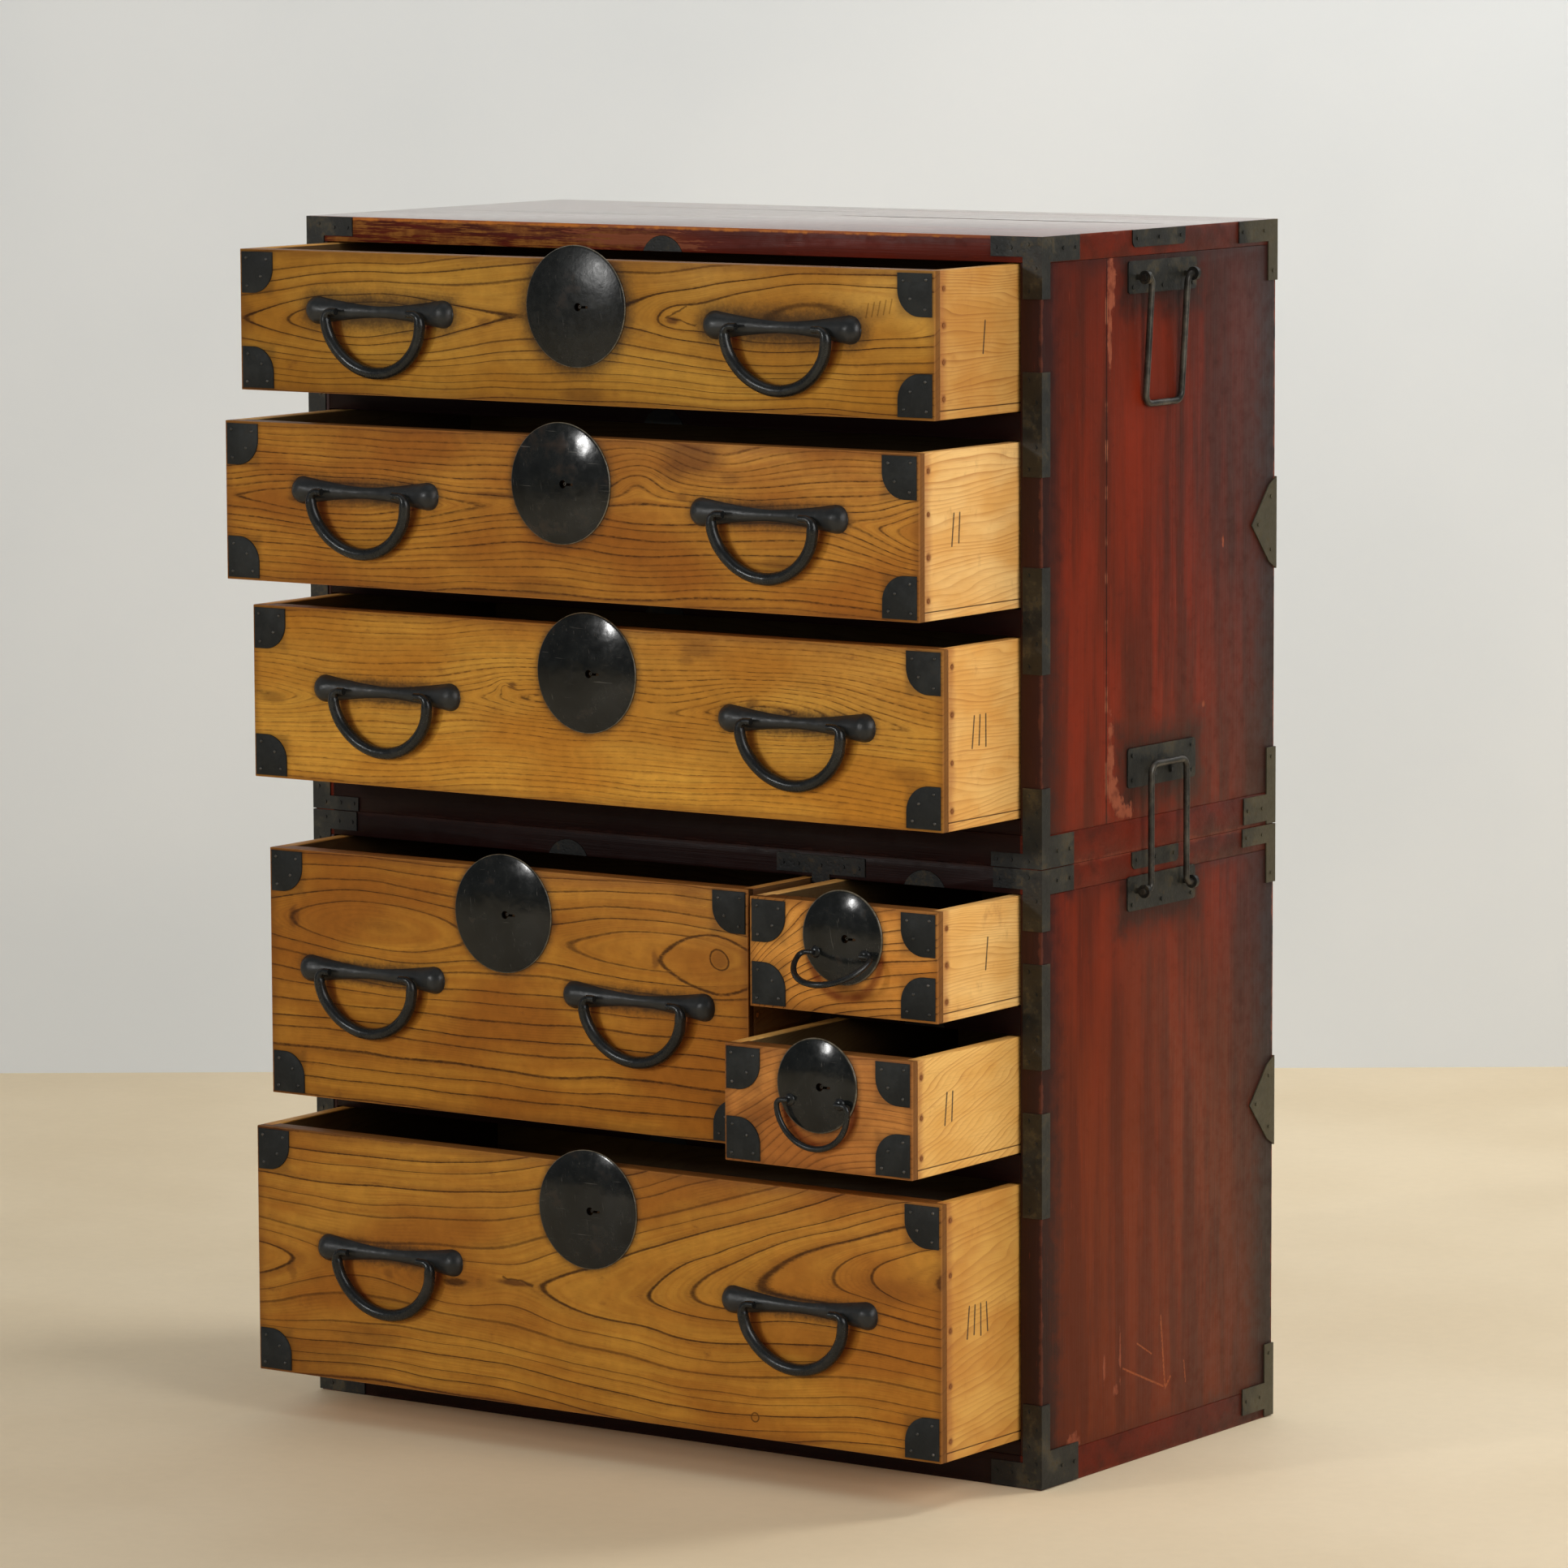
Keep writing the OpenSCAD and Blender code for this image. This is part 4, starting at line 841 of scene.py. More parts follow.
M_FRONT = [front_material(i) for i in range(7)]
M_BOX = [box_material(i) for i in range(7)]
M_RED_Z = lacquer("lacquer_sides", "z")
M_RED_X = lacquer("lacquer_boards", "x")
M_TOP = lacquer("lacquer_top", "x", True)
M_BACK = back_material()
M_PLATE = plate_material()
M_BAR = iron_material("iron_handle_bars", lin(31, 33, 34), lin(50, 52, 53), lin(58, 46, 36), 0.15, 0.34, 0.46, 1.3, 0.15, 0.4, False, 0.45)
M_BLACK = iron_material("iron_black_forged", lin(36, 38, 39), lin(64, 66, 66), lin(78, 60, 46), 0.14, 0.24, 0.33, 1.3, 0.6, 0.35, False, 0.5, 0.11)
M_SHEET = iron_material("iron_corner_sheet", lin(22, 24, 24), lin(42, 45, 45), lin(56, 46, 34), 0.15, 0.55, 0.70, 1.2, 0.0, 0.5, False, 0.25)
M_HEAD = iron_material("iron_nail_head", lin(64, 64, 62), lin(110, 108, 104), lin(104, 70, 46), 0.2, 0.28, 0.40, 0.4, 0.7)
M_OLD = iron_material("iron_case_straps", lin(30, 31, 29), lin(58, 57, 50), lin(74, 58, 34), 0.45, 0.40, 0.56, 1.0, 0.3, 0.5, True)
M_ROD = iron_material("iron_carry_rods", lin(46, 44, 40), lin(108, 104, 94), lin(86, 62, 40), 0.35, 0.28, 0.44, 0.7, 0.5, 0.5)
M_POST = iron_material("iron_key_post", lin(58, 54, 48), lin(96, 92, 84), lin(70, 50, 32), 0.2, 0.30, 0.40, 0.3, 0.5)
# painted shade: near-black iron for the inside of the keyhole
M_HOLE_SHADE = iron_material("iron_keyhole_shade", lin(7, 7, 7), lin(16, 15, 14), lin(20, 14, 10), 0.2, 0.6, 0.8, 0.5, 0.0, 0.5, False, 0.1)
M_PEG = peg_material()
M_BRASS = brass_material()


# ---------------------------------------------------------------- mesh helpers
def new_object(name, bm, mats, smooth_deg=38.0):
    me = bpy.data.meshes.new(name)
    bm.to_mesh(me)
    bm.free()
    ob = bpy.data.objects.new(name, me)
    bpy.context.scene.collection.objects.link(ob)
    for m in mats:
        me.materials.append(m)
    finish_shading(ob, smooth_deg)
    return ob


def finish_shading(ob, smooth_deg):
    me = ob.data
    bm = bmesh.new()
    bm.from_mesh(me)
    lim = math.radians(smooth_deg)
    for f in bm.faces:
        f.smooth = True
    for e in bm.edges:
        if len(e.link_faces) == 2:
            e.smooth = e.calc_face_angle(0.0) < lim
        else:
            e.smooth = False
    bm.to_mesh(me)
    bm.free()


def welded(node, tol=2e-6):
    bm = bmesh.new()
    bm.from_mesh(NODES[node].data)
    bmesh.ops.remove_doubles(bm, verts=bm.verts, dist=tol)
    return bm


def islands(bm):
    seen, out = set(), []
    for f in bm.faces:
        if f.index in seen:
            continue
        stack, group = [f], []
        seen.add(f.index)
        while stack:
            g = stack.pop()
            group.append(g)
            for e in g.edges:
                for h in e.link_faces:
                    if h.index not in seen:
                        seen.add(h.index)
                        stack.append(h)
        out.append(group)
    return out


def box_of(faces):
    vs = [v.co for f in faces for v in f.verts]
    lo = Vector((min(v[k] for v in vs) for k in range(3)))
    hi = Vector((max(v[k] for v in vs) for k in range(3)))
    return lo, hi


def ease_edges(bm, width, least, angle=40.0, seg=2, keep=None):
    """Flat faces become whole again, then the long sharp edges are eased."""
    bmesh.ops.dissolve_limit(bm, angle_limit=math.radians(0.3), verts=bm.verts, edges=bm.edges, delimit=set())
    lim = math.radians(angle)
    edges = [e for e in bm.edges if len(e.link_faces) == 2 and e.calc_length() > least and e.calc_face_angle(0.0) > lim
             and e.is_convex and (keep is None or keep(e))]
    bmesh.ops.bevel(bm, geom=edges, offset=width, offset_type="OFFSET", segments=seg, profile=0.5, affect="EDGES", clamp_overlap=True)


def body_of(node):
    return NODES[node]["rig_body"]


def board(node, mat, width=0.7, least=14.0, top=None):
    bm = welded(node)
    ease_edges(bm, width * MM, least * MM)
    if top:
        zt = max(v.co.z for v in bm.verts)
        bm.normal_update()
        for f in bm.faces:
            f.material_index = 1 if f.normal.z > 0.9 and f.calc_center_median().z > zt - 0.4 * MM else 0
    ob = new_object("look_" + node, bm, [mat, top] if top else [mat])
    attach(ob, body_of(node))
    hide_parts(node)
    return ob


# ---------------------------------------------------------------- tubes, lathes and bars
def tube(bm, pts, radii, sides=20, rough=0.0, seed=0.0, mat=0, flat=0.0):
    """A closed tube along pts in mm, with one radius per point and a slightly forged surface."""
    rings = []
    count = len(pts)
    prev = None
    for k in range(count):
        a = pts[max(0, k - 1)]
        b = pts[min(count - 1, k + 1)]
        t = (b - a).normalized()
        if prev is None:
            ref = Vector((0, 1, 0)) if abs(t.y) < 0.9 else Vector((1, 0, 0))
            nrm = (ref - t * ref.dot(t)).normalized()
        else:
            nrm = (prev - t * prev.dot(t)).normalized()
        prev = nrm
        bi = t.cross(nrm)
        ring = []
        for s in range(sides):
            ang = 2 * math.pi * s / sides
            dirv = nrm * math.cos(ang) * (1.0 - flat) + bi * math.sin(ang)
            p = pts[k] + dirv * radii[k]
            if rough:
                q = noise.noise(Vector((p.x * 0.13 + seed, p.y * 0.13, p.z * 0.13)))
                q2 = noise.noise(Vector((p.x * 0.42 + seed, p.y * 0.42, p.z * 0.42)))
                p = pts[k] + dirv * (radii[k] + rough * (q * 0.75 + q2 * 0.35))
            ring.append(bm.verts.new(p * MM))
        rings.append(ring)
    for k in range(count - 1):
        for s in range(sides):
            f = bm.faces.new((rings[k][s], rings[k][(s + 1) % sides], rings[k + 1][(s + 1) % sides], rings[k + 1][s]))
            f.material_index = mat
    for ring, turn in ((rings[0], True), (rings[-1], False)):
        c = sum((v.co for v in ring), Vector()) / sides
        cv = bm.verts.new(c)
        for s in range(sides):
            a, b = ring[s], ring[(s + 1) % sides]
            f = bm.faces.new((b, a, cv) if turn else (a, b, cv))
            f.material_index = mat


def arc_pts(cx_, cz_, r, a0, a1, step=2.0):
    n = max(3, int(abs(math.radians(a1 - a0)) * r / step) + 1)
    return [Vector((cx_ + r * math.cos(math.radians(a0 + (a1 - a0) * k / n)), 0, cz_ + r * math.sin(math.radians(a0 + (a1 - a0) * k / n)))) for k in range(n + 1)]


def bail_path(a, b, r1, rb, xt):
    dx, B = a - r1, b - rb
    R2 = (dx * dx + B * B - r1 * r1) / (2 * (B - r1))
    an = math.degrees(math.atan2(B - R2, dx))
    right = arc_pts(0, -b + R2, R2, -90, an, 1.7) + arc_pts(dx, -rb, r1, an, 0, 1.7)[1:] + arc_pts(a - rb, -rb, rb, 0, 90, 0.9)[1:]
    k = 1
    while a - rb - k * 1.2 > xt:
        right.append(Vector((a - rb - k * 1.2, 0, 0)))
        k += 1
    right.append(Vector((xt, 0, 0)))
    left = [Vector((-p.x, 0, p.z)) for p in reversed(right[1:])]
    return left + right


def bail_object(name, path, radius, place, seed, rough=0.22, sides=22):
    bm = bmesh.new()
    run = [0.0]
    for p, q in zip(path, path[1:]):
        run.append(run[-1] + (q - p).length)
    total = run[-1]
    radii = [radius(abs(2 * r / total - 1.0)) for r in run]
    tube(bm, path, radii, sides, rough, seed)
    bmesh.ops.recalc_face_normals(bm, faces=bm.faces)
    # moved into place
    for v in bm.verts:
        v.co = place @ v.co
    return new_object(name, bm, [M_BLACK], 60.0)


def bar_profile(x):
    """Radius of a handle bar at x mm from its middle: thin waist and full ends."""
    L = 75.0
    ax = abs(x)
    if ax > L - 12.0:
        t = min(1.0, (ax - (L - 12.0)) / 12.0)
        return 11.8 * (1.0 - t ** 2.4) ** (1 / 2.4)
    return 5.6 + 6.2 * (ax / (L - 12.0)) ** 1.7 * (1.0 + 0.10 * (1.0 - (ax / (L - 12.0)) ** 2))


def bar_object(name, cx_, cz_, pull, seed):
    bm = bmesh.new()
    xs = [-75.0 + 12.0 * (1 - math.cos(math.pi / 2 * k / 16)) for k in range(16)]
    xs += [-63.0 + 126.0 * k / 60 for k in range(61)]
    xs += [-x for x in reversed(xs[:16])]
    sides = 36
    rings = []
    depth = -3.2
    for x in xs:
        r = bar_profile(x)
        ring = []
        for s in range(sides + 1):
            lim = math.acos(min(1.0, 3.2 / max(r, 3.21)))
            ang = -lim + 2 * lim * s / sides
            y = -(r * math.cos(ang)) + 3.2
            z = r * math.sin(ang)
            p = Vector((x, min(y, 0.0), z))
            q = noise.noise(Vector((x * 0.10 + seed, y * 0.16, z * 0.16)))
            q2 = noise.noise(Vector((x * 0.35 + seed, y * 0.35, z * 0.35)))
            amp = (0.30 * q + 0.12 * q2) * (1.0 if 0 < s < sides else 0.0)
            p += Vector((0, -math.cos(ang), math.sin(ang))) * amp
            p.y = min(p.y, -0.02) if 0 < s < sides else 0.0
            ring.append(p)
        rings.append(ring)
    vr = [[bm.verts.new((Vector((cx_, FY - pull, cz_)) + p) * MM) for p in ring] for ring in rings]
    for k in range(len(vr) - 1):
        for s in range(sides):
            bm.faces.new((vr[k][s], vr[k + 1][s], vr[k + 1][s + 1], vr[k][s + 1]))
    # closed back against the wood
    for k in range(len(vr) - 1):
        bm.faces.new((vr[k][0], vr[k][sides], vr[k + 1][sides], vr[k + 1][0]))
    for ring, turn in ((vr[0], False), (vr[-1], True)):
        bm.faces.new(list(reversed(ring)) if turn else ring)
    bmesh.ops.remove_doubles(bm, verts=bm.verts, dist=1e-6)
    bmesh.ops.dissolve_degenerate(bm, edges=bm.edges, dist=1e-6)
    bmesh.ops.recalc_face_normals(bm, faces=bm.faces)
    return new_object(name, bm, [M_BAR], 80.0)


def dome_height(t, R):
    """Height of a lock plate above the wood, t from 0 at the middle to 1 at the rim."""
    return 1.5 + DOME * (1.0 - t ** 2.4)


def plate_object(name, cx_, cz_, R, pull, seed):
    """Domed lock plate: raised rim line, thickness, and a keyhole cut through it."""
    bm = bmesh.new()
    around, steps = 144, 40
    prof = []
    for k in range(steps + 1):
        t = k / steps
        prof.append((R * t * 0.984, dome_height(t, R)))
    prof += [(R - 0.45, 1.34), (R - 0.15, 1.05), (R, 0.7), (R - 0.2, 0.35), (R - 0.5, 0.05), (R - 1.5, 0.05)]
    inner = [((R - 1.5) * (1 - k / 12.0), (DOME - 0.2) * (1.0 - (1 - k / 12.0) ** 2.4) + 0.05) for k in range(1, 13)]
    prof += inner
    rings = []
    for j, (r, hgt) in enumerate(prof):
        if r < 1e-6:
            rings.append([bm.verts.new(Vector((0, -hgt, 0)))])
            continue
        ring = []
        for s in range(around):
            a = 2 * math.pi * s / around
            px, pz = r * math.cos(a), r * math.sin(a)
            q = 0.0
            if j <= steps:
                q = 0.16 * noise.noise(Vector((px * 0.06 + seed, pz * 0.06, seed))) + 0.05 * noise.noise(Vector((px * 0.2 + seed, pz * 0.2, seed)))
                q *= 1.0 - (r / R) ** 6
            ring.append(bm.verts.new(Vector((px, -hgt - q, pz))))
        rings.append(ring)
    for k in range(len(rings) - 1):
        a, b = rings[k], rings[k + 1]
        for s in range(around):
            if len(a) == 1:
                bm.faces.new((a[0], b[s], b[(s + 1) % around]))
            elif len(b) == 1:
                bm.faces.new((a[s], b[0], a[(s + 1) % around]))
            else:
                bm.faces.new((a[s], b[s], b[(s + 1) % around], a[(s + 1) % around]))
    bmesh.ops.recalc_face_normals(bm, faces=bm.faces)
    for v in bm.verts:
        v.co = (v.co + Vector((cx_, FY - pull, cz_))) * MM
    ob = new_object(name, bm, [M_PLATE], 40.0)
    # the keyhole: a round hole with a slot to its right
    kb = bmesh.new()
    pts = []
    for k in range(33):
        a = math.radians(19 + (360 - 38) * k / 32)
        pts.append((6.0 + 3.3 * math.cos(a), 3.3 * math.sin(a)))
    pts += [(15.8, -1.0), (15.8, 1.0)]
    lo = [kb.verts.new((Vector((cx_ + x, FY - pull - 12.0, cz_ + z))) * MM) for x, z in pts]
    hi = [kb.verts.new((Vector((cx_ + x, FY - pull + 2.0, cz_ + z))) * MM) for x, z in pts]
    m = len(pts)
    for k in range(m):
        kb.faces.new((lo[k], lo[(k + 1) % m], hi[(k + 1) % m], hi[k]))
    kb.faces.new(lo)
    kb.faces.new(list(reversed(hi)))
    bmesh.ops.recalc_face_normals(kb, faces=kb.faces)
    cutter = new_object(name + "_cut", kb, [M_PLATE], 40.0)
    mod = ob.modifiers.new("keyhole", "BOOLEAN")
    mod.operation = "DIFFERENCE"
    mod.solver = "EXACT"
    mod.object = cutter
    dg = bpy.context.evaluated_depsgraph_get()
    me = bpy.data.meshes.new_from_object(ob.evaluated_get(dg))
    me.materials.clear()
    me.materials.append(M_PLATE)
    me.materials.append(M_HOLE_SHADE)
    # painted shade: the keyhole's walls and the plate's back get near-black iron, the shade inside the hole
    for f in me.polygons:
        q = math.hypot(f.center.x / MM - cx_, f.center.z / MM - cz_)
        f.material_index = 1 if (q < 18.0 and abs(f.normal.y) < 0.6) or f.normal.y > 0.5 else 0
    ob.modifiers.clear()
    old = ob.data
    ob.data = me
    bpy.data.meshes.remove(old)
    bpy.data.objects.remove(cutter)
    finish_shading(ob, 40.0)
    return ob


def nail_head(bm, at, axis, r, h, mat):
    """Low dome of a nail, standing on a surface at a place, in mm."""
    axis = axis.normalized()
    ref = Vector((0, 0, 1)) if abs(axis.z) < 0.9 else Vector((1, 0, 0))
    u = axis.cross(ref).normalized()
    v = axis.cross(u)
    sides = 12
    prev = None
    levels = ((1.0, -0.15), (1.0, 0.25), (0.82, 0.66), (0.48, 0.92))
    for f, hh in levels:
        ring = [bm.verts.new((at + (u * math.cos(2 * math.pi * s / sides) + v * math.sin(2 * math.pi * s / sides)) * (r * f) + axis * (h * hh)) * MM) for s in range(sides)]
        if prev:
            for s in range(sides):
                fc = bm.faces.new((prev[s], prev[(s + 1) % sides], ring[(s + 1) % sides], ring[s]))
                fc.material_index = mat
        else:
            fc = bm.faces.new(list(reversed(ring)))
            fc.material_index = mat
        prev = ring
    top = bm.verts.new((at + axis * h) * MM)
    for s in range(sides):
        fc = bm.faces.new((prev[s], prev[(s + 1) % sides], top))
        fc.material_index = mat


def corner_iron(bm, x0, z0, sx, sz, yf):
    """Sheet iron on a corner of a drawer front, its inner corner a full quarter round, with eased edges."""
    def outline(e):
        pts = [(e, e), (32.0 - e, e)]
        for k in range(15):
            a = math.radians(90.0 * k / 14)
            pts.append((11.0 + (21.0 - e) * math.cos(a), 13.0 + (21.0 - e) * math.sin(a)))
        pts.append((e, 34.0 - e))
        return pts
    rings = []
    for e, h in ((0.0, 0.0), (0.0, 0.95), (0.15, 1.15), (0.45, 1.3)):
        ring = []
        for px, pz in outline(e):
            ring.append(bm.verts.new(Vector((x0 - sx * px, yf - h, z0 - sz * pz)) * MM))
        rings.append(ring)
    made = []
    m = len(rings[0])
    for a, b in zip(rings, rings[1:]):
        for k in range(m):
            made.append(bm.faces.new((a[k], a[(k + 1) % m], b[(k + 1) % m], b[k])))
    made.append(bm.faces.new(rings[-1]))
    made.append(bm.faces.new(list(reversed(rings[0]))))
    bmesh.ops.recalc_face_normals(bm, faces=made)
    for f in made:
        f.material_index = 0


def key_post(bm, x, z, yf):
    """Hollow post that the key slides over, seen through the keyhole."""
    made, rings = [], []
    for r, h in ((1.4, -6.5), (1.4, 3.4), (1.2, 3.65), (0.75, 3.65), (0.65, 3.4), (0.65, 0.0)):
        rings.append([bm.verts.new(Vector((x + r * math.cos(math.pi * k / 12), yf - h, z + r * math.sin(math.pi * k / 12))) * MM) for k in range(24)])
    for a, b in zip(rings, rings[1:]):
        for k in range(24):
            made.append(bm.faces.new((a[k], a[(k + 1) % 24], b[(k + 1) % 24], b[k])))
    made.append(bm.faces.new(rings[-1]))
    made.append(bm.faces.new(list(reversed(rings[0]))))
    bmesh.ops.recalc_face_normals(bm, faces=made)
    for f in made:
        f.material_index = 3


def pin_dome(bm, x, z, yf, cx0, cz0, R):
    """Low dome on a small lock plate, under the eye of a split pin."""
    t = min(1.0, math.hypot(x - cx0, z - cz0) / R)
    at = yf - dome_height(t, R)
    made, rings = [], []
    for r, h in ((5.0, -1.4), (5.0, 0.1), (4.7, 0.9), (3.9, 1.7), (2.6, 2.3), (1.2, 2.6)):
        rings.append([bm.verts.new(Vector((x + r * math.cos(math.pi * k / 12), at - h, z + r * math.sin(math.pi * k / 12))) * MM) for k in range(24)])
    for a, b in zip(rings, rings[1:]):
        for k in range(24):
            made.append(bm.faces.new((a[k], a[(k + 1) % 24], b[(k + 1) % 24], b[k])))
    made.append(bm.faces.new(rings[-1]))
    made.append(bm.faces.new(list(reversed(rings[0]))))
    bmesh.ops.recalc_face_normals(bm, faces=made)
    for f in made:
        f.material_index = 4


# ---------------------------------------------------------------- wooden parts
for case in ("upper", "lower"):
    for side in ("left", "right"):
        board("%s_side_%s" % (case, side), M_RED_Z, 0.8, 20.0)
    board("%s_top" % case, M_RED_X, 0.9, 20.0, M_TOP)
    board("%s_base" % case, M_RED_X, 0.9, 20.0)
    board("%s_rails" % case, M_RED_X, 0.6, 20.0)
    board("%s_back" % case, M_BACK, 0.6, 20.0)
for i in range(7):
    board("drawer%d_front" % (i + 1), M_FRONT[i], 0.8, 7.5)
    board("drawer%d_box" % (i + 1), M_BOX[i], 0.6, 7.5)

# ---------------------------------------------------------------- fittings of the drawers
for i in range(7):
    node = "drawer%d_fittings" % (i + 1)
    body = body_of(node)
    pull = PULL[i]
    bm = welded(node)
    bm.faces.ensure_lookup_table()
    for k, f in enumerate(bm.faces):
        f.index = k
    drop, pegs, post, irons = [], [], [], []
    R = PR[i]
    for group in islands(bm):
        lo, hi = box_of(group)
        lo, hi = lo / MM, hi / MM
        size = hi - lo
        cxm, czm = (lo.x + hi.x) / 2, (lo.z + hi.z) / 2
        if abs(size.x - 2 * R) < 3 and abs(size.z - 2 * R) < 3 and abs(czm - ZC[i]) < 3:
            drop += group
        elif size.x > 140:
            drop += group
        elif size.x > 28 and size.x < 36 and size.z > 30 and size.z < 38 and size.y < 4:
            drop += group
            irons.append((lo, hi))
        elif abs(cxm - XC[i] - 6) < 1 and size.x < 4 and abs(czm - ZC[i]) < 1:
            drop += group
        elif size.z < 4.2 and size.x > 8 and size.y < 4.2:
            pegs += group
    for f in bm.faces:
        f.material_index = 0
    for f in pegs:
        f.material_index = 1
    for f in post:
        f.material_index = 3
    bmesh.ops.delete(bm, geom=drop, context="FACES")
    loose = [v for v in bm.verts if not v.link_faces]
    bmesh.ops.delete(bm, geom=loose, context="VERTS")
    bmesh.ops.dissolve_limit(bm, angle_limit=math.radians(0.3), verts=bm.verts, edges=bm.edges, delimit={"MATERIAL"})
    # domed heads over the flat ones of the corner irons
    for sx in (-1, 1):
        for sz in (-1, 1):
            x0 = (DX1[i] - 2) if sx > 0 else (DX0[i] + 2)
            z0 = (DZT[i] - 2) if sz > 0 else (DZB[i] + 2)
            corner_iron(bm, x0, z0, sx, sz, FY - pull)
            for px, pz in ((5, 5), (26, 6), (6, 28), (20, 20)):
                at = Vector((x0 - sx * px, FY - pull - 1.2, z0 - sz * pz))
                nail_head(bm, at, Vector((0, -1, 0)), 1.35, 1.05, 2)
    key_post(bm, XC[i] + 6.0, ZC[i], FY - pull)
    if SMALL[i]:
        for ex in (-1, 1):
            pin_dome(bm, XC[i] + ex * (RING_A - 11.4 + 1.4), HZZ[i], FY - pull, XC[i], ZC[i], R)
    ob = new_object("look_" + node, bm, [M_SHEET, M_PEG, M_HEAD, M_POST, M_BLACK], 38.0)
    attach(ob, body)
    pieces = [ob]
    pl = plate_object("lock_plate_%d" % (i + 1), XC[i], ZC[i], R, pull, 3.1 * i)
    pieces.append(pl)
    if not SMALL[i]:
        for tag, hx in (("left", HL[i]), ("right", HR[i])):
            pieces.append(bar_object("handle_bar_%d_%s" % (i + 1, tag), XC[i] + hx, HZZ[i], pull, 7.0 * i + hx * 0.01))
    for p in pieces:
        if p is not ob:
            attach(p, body)
        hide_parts(node)

# ---------------------------------------------------------------- bails
for i in range(7):
    if SMALL[i]:
        node = "drawer%d_ring" % (i + 1)
        body = body_of(node)
        path = bail_path(RING_A, RING_B, 26.0, 5.0, 22.2)
        place = Matrix.Translation(Vector((XC[i], FY - RING_Y - PULL[i], HZZ[i])) * MM) @ Matrix.Rotation(math.radians(-RING_TILT[i]), 4, "X")
        ob = bail_object("ring_bail_%d" % (i + 1), path, lambda t: 2.55 - 0.5 * t ** 2, place, 5.0 * i, 0.14, 18)
        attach(ob, body)
        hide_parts(node)
        continue
    for tag, hx in (("left", HL[i]), ("right", HR[i])):
        node = "drawer%d_bail_%s" % (i + 1, tag)
        body = body_of(node)
        path = bail_path(BAIL_A, BAIL_B, 38.0, 6.3, 36.4)
        place = Matrix.Translation(Vector((XC[i] + hx, FY - BAIL_Y - PULL[i], HZZ[i])) * MM) @ Matrix.Rotation(LEAN, 4, "X")
        ob = bail_object("bail_%d_%s" % (i + 1, tag), path, lambda t: 5.0 - 0.4 * min(1.0, t / 0.8) ** 2 - 1.7 * min(1.0, max(0.0, (t - 0.80) / 0.10)), place, 5.0 * i + hx * 0.013, 0.22, 22)
        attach(ob, body)
        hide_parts(node)


def carry_object(name, place, seed):
    c, rb = 8.0, 6.0
    right = [Vector((0, 0, -CARRY_L)), Vector((CARRY_A - c, 0, -CARRY_L))]
    n = 8
    flat = [Vector((x, 0, -CARRY_L)) for x in [k * (CARRY_A - c) / n for k in range(n + 1)]]
    right = flat + arc_pts(CARRY_A - c, -CARRY_L + c, c, -90, 0, 1.2)[1:]
    z0, z1 = -CARRY_L + c, -rb
    right += [Vector((CARRY_A, 0, z0 + (z1 - z0) * k / 24)) for k in range(1, 25)]
    right += arc_pts(CARRY_A + rb, -rb, rb, 180, 90, 0.9)[1:]
    right += [Vector((CARRY_A + rb + k * 1.1, 0, 0)) for k in range(1, 8)]
    left = [Vector((-p.x, 0, p.z)) for p in reversed(right[1:])]
    path = left + right
    bm = bmesh.new()
    run = [0.0]
    for p, q in zip(path, path[1:]):
        run.append(run[-1] + (q - p).length)
    radii = [2.75 - 0.25 * abs(2 * r / run[-1] - 1.0) ** 3 for r in run]
    tube(bm, path, radii, 16, 0.16, seed)
    bmesh.ops.recalc_face_normals(bm, faces=bm.faces)
    for v in bm.verts:
        v.co = place @ v.co
    return new_object(name, bm, [M_ROD], 60.0)


for side, sg in (("right", 1.0), ("left", -1.0)):
    turn = Matrix.Rotation(math.radians(90), 4, "Z")
    mir = Matrix.Diagonal(Vector((sg, 1.0, 1.0, 1.0)))
    up = mir @ Matrix.Translation(Vector((W2 + CARRY_Y, CARRY_C, UP_Z)) * MM) @ Matrix.Rotation(CARRY_LEAN, 4, "Y") @ turn
    lo = mir @ Matrix.Translation(Vector((W2 + CARRY_Y, CARRY_C, LO_Z)) * MM) @ Matrix.Rotation(math.radians(180), 4, "Y") @ turn
    for case, place in (("upper", up), ("lower", lo)):
        node = "%s_bail_%s" % (case, side)
        ob = carry_object("carry_bail_%s_%s" % (case, side), place, 2.0 if side == "left" else 9.0)
        if sg < 0:
            bm = bmesh.new()
            bm.from_mesh(ob.data)
            bmesh.ops.recalc_face_normals(bm, faces=bm.faces)
            bm.to_mesh(ob.data)
            bm.free()
            finish_shading(ob, 60.0)
        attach(ob, body_of(node))
        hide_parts(node)

# ---------------------------------------------------------------- irons of the cases
for node in ("upper_irons", "lower_irons", "upper_handle_plates", "lower_handle_plates"):
    bm = welded(node)
    ease_edges(bm, 0.25 * MM, 5.0 * MM, 60.0, 1)
    ob = new_object("look_" + node, bm, [M_OLD], 38.0)
    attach(ob, body_of(node))
    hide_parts(node)
for i in range(7):
    ob = NODES["drawer%d_bolt" % (i + 1)]
    for k in range(len(ob.material_slots)):
        ob.material_slots[k].material = M_BRASS


# ---------------------------------------------------------------- floor, wall, light, camera
def floor_material():
    n = Net("floor_plain")
    X, Y, Z = n.xyz()
    q = n.noise(X * (1 / 420.0), Y * (1 / 420.0), 1.0, 3.0, 0.5)
    q2 = n.noise(X * (1 / 14.0), Y * (1 / 14.0), 2.0, 3.0, 0.6)
    c = n.mix(n.smooth(q, 0.3, 0.7), lin(232, 214, 182), lin(224, 205, 172))
    c = n.times(c, n.smooth(q2, 0.2, 0.8, 0.985, 1.015))
    return n.done(c, 0.62, n.bump(q2, 0.1), spec=0.3)


